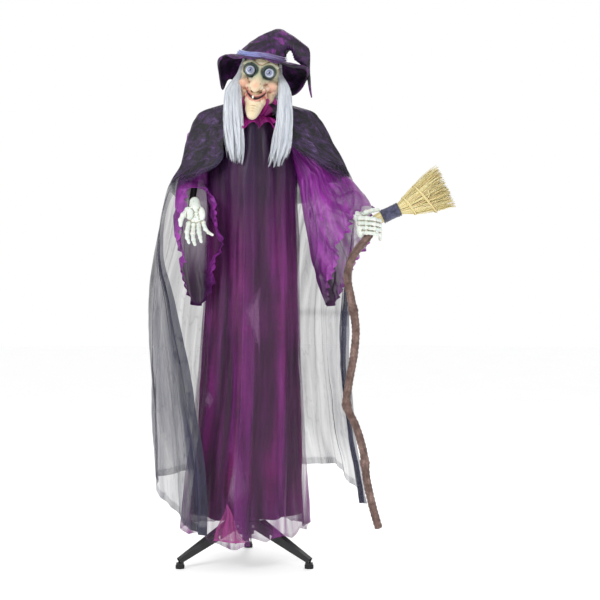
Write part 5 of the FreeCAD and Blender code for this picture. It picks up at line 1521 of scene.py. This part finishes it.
def bark_finish():
    finish = Finish("bark_wrap", 0.72, Sheen_Weight=0.2)
    place = finish.place()
    broad, fine = finish.noise(place, 32, 5), finish.noise(place, 300, 5, 0.7)
    colour = finish.blend(finish.span(broad, 0.36, 0.66), rgb(96, 68, 60), rgb(150, 122, 112))
    colour = finish.blend(finish.span(fine, 0.5, 0.66, 0, 0.75), colour, rgb(56, 38, 34))
    # painted shade: darkening in the grooves of the bark
    colour = finish.blend(finish.math("MULTIPLY", finish.kept("cavity_shade", "Fac"), 0.5), colour, rgb(52, 36, 34))
    finish.shade("Base Color", colour)
    finish.shade("Normal", finish.relief(fine, 0.6, 0.0012))
    return finish.material


# --------------------------------------------------------------------------- hardware
HARDWARE = {  # slot: colour, worn colour, roughness, metal, grain per metre, relief
    "leg_paint": (rgb(20, 20, 23), rgb(58, 58, 62), 0.38, 0.0, 120, 0.12),
    "pole_steel": (rgb(24, 24, 27), rgb(70, 70, 74), 0.26, 0.0, 160, 0.08),
    "zinc": (rgb(176, 178, 182), rgb(120, 122, 128), 0.32, 1.0, 260, 0.10),
    "black_plastic": (rgb(22, 22, 24), rgb(44, 44, 48), 0.48, 0.0, 520, 0.30),
    "white_plastic": (rgb(222, 222, 216), rgb(190, 188, 178), 0.42, 0.0, 420, 0.15),
    "gear_plastic": (rgb(232, 228, 214), rgb(196, 190, 170), 0.36, 0.0, 380, 0.12),
    "rubber": (rgb(26, 26, 28), rgb(60, 58, 56), 0.78, 0.0, 420, 0.40),
    "board": (rgb(18, 84, 50), rgb(150, 138, 84), 0.40, 0.0, 300, 0.35),
    "cell_wrap": (rgb(30, 60, 110), rgb(190, 194, 200), 0.30, 0.0, 90, 0.05),
}


def hardware_finish(name, colour, worn, rough, metal, grain, depth):
    finish = Finish(name + "_finish", rough, Metallic=metal)
    place = finish.place()
    broad, fine = finish.noise(place, grain / 6, 4), finish.noise(place, grain, 4, 0.7)
    scratch = finish.noise(finish.scaled(place, (grain * 2, grain * 2, grain / 8)), 1.0, 3, 0.7, 0.6)
    colour = finish.blend(finish.span(broad, 0.5, 0.74, 0, 0.55), colour, worn)
    colour = finish.blend(finish.span(scratch, 0.66, 0.74, 0, 0.5), colour, worn)
    finish.shade("Base Color", colour)
    finish.shade("Roughness", finish.span(fine, 0.3, 0.7, rough - 0.06, rough + 0.12))
    finish.shade("Normal", finish.relief(fine, depth, 0.0006))
    return finish.material


def paint_hardware():
    finishes = {name: hardware_finish(name, *facts) for name, facts in HARDWARE.items()}
    finishes.update(eye_right=eye_finish("right"), eye_left=eye_finish("left"), robe_organza=lining_finish())
    for name, thing in frame["nodes"].items():
        for place in thing.material_slots:
            slot = place.material.name.split(".")[0] if place.material else ""
            finish = finishes.get(name) or finishes.get(slot)
            if finish:
                place.link = "OBJECT"
                place.material = finish


# --------------------------------------------------------------------------- camera, lights and floor
def make_camera():
    """Level with the figure's middle, five metres off, where the whole figure fills the frame."""
    distance, height, wide = 5.0, 1.0, 2.04
    middle_x = (cad_low.x + cad_high.x) / 2
    data = bpy.data.cameras.new("camera")
    data.lens = data.sensor_width * distance / wide
    camera = bpy.data.objects.new("camera", data)
    bpy.context.scene.collection.objects.link(camera)
    camera.location = (middle_x, -distance, height)
    aim = Vector((middle_x, 0, 0.891)) - camera.location
    camera.rotation_euler = aim.to_track_quat("-Z", "Y").to_euler()
    bpy.context.scene.camera = camera


def area_light(name, place, aim, size, power):
    data = bpy.data.lights.new(name, "AREA")
    data.shape, data.size, data.energy = "DISK", size, power
    light = bpy.data.objects.new(name, data)
    light.location = place
    light.rotation_euler = (Vector(aim) - Vector(place)).to_track_quat("-Z", "Y").to_euler()
    bpy.context.scene.collection.objects.link(light)


CAMERA_LIGHT, ROOM_LIGHT = 1.0, 0.62  # how bright the world looks, and how bright it lights
FLOOR_REACH, FLOOR_CORNERS, FLOOR_DROP = 14.0, 64, 0.0005


def make_stage():
    make_lights()
    make_world()
    turn = np.arange(FLOOR_CORNERS) * TURN / FLOOR_CORNERS
    ring = np.stack([FLOOR_REACH * np.cos(turn), FLOOR_REACH * np.sin(turn), 0 * turn - FLOOR_DROP], axis=-1)
    floor = new_piece("floor", ring, [list(range(FLOOR_CORNERS))], floor_finish())
    bpy.context.scene.view_settings.view_transform = "Standard"


def make_lights():
    middle = (0.15, 0.0, 0.95)
    area_light("key_light", (-2.2, -3.6, 3.0), middle, 1.6, 88)
    area_light("fill_light", (2.8, -3.2, 1.8), middle, 2.6, 26)
    area_light("back_light", (0.6, 3.2, 2.8), middle, 2.0, 40)


def make_world():
    world = bpy.data.worlds.new("studio")
    world.use_nodes = True
    tree = world.node_tree
    background = tree.nodes["Background"]
    background.inputs["Color"].default_value = (1, 1, 1, 1)
    seen = tree.nodes.new("ShaderNodeLightPath").outputs["Is Camera Ray"]
    strength = tree.nodes.new("ShaderNodeMapRange")
    strength.inputs["To Min"].default_value = ROOM_LIGHT
    strength.inputs["To Max"].default_value = CAMERA_LIGHT
    tree.links.new(seen, strength.inputs["Value"])
    tree.links.new(strength.outputs["Result"], background.inputs["Strength"])
    bpy.context.scene.world = world


def floor_finish():
    finish = Finish("pale_floor", 0.6, Emission_Strength=0.42)
    shade = finish.noise(finish.place(), 3, 3)
    finish.shade("Base Color", finish.blend(finish.span(shade, 0.3, 0.7), rgb(246, 246, 246),
                                            rgb(240, 240, 241)))
    finish.shade("Emission Color", (1, 1, 1, 1))
    return finish.material


VELVET = velvet_finish()
THREAD = thread_finish("stitch_thread", rgb(70, 44, 84))
HAIR = hair_finish()

make_camera()
make_stage()
make_robe()
make_cape()
make_ruff()
make_sleeve("left")
make_sleeve("right")
make_face()
make_hair()
make_crown()
make_stitches(make_brim())
make_band()
make_right_hand()
make_left_hand()
make_straws()
make_ties()
make_collar()
make_handle()
paint_hardware()
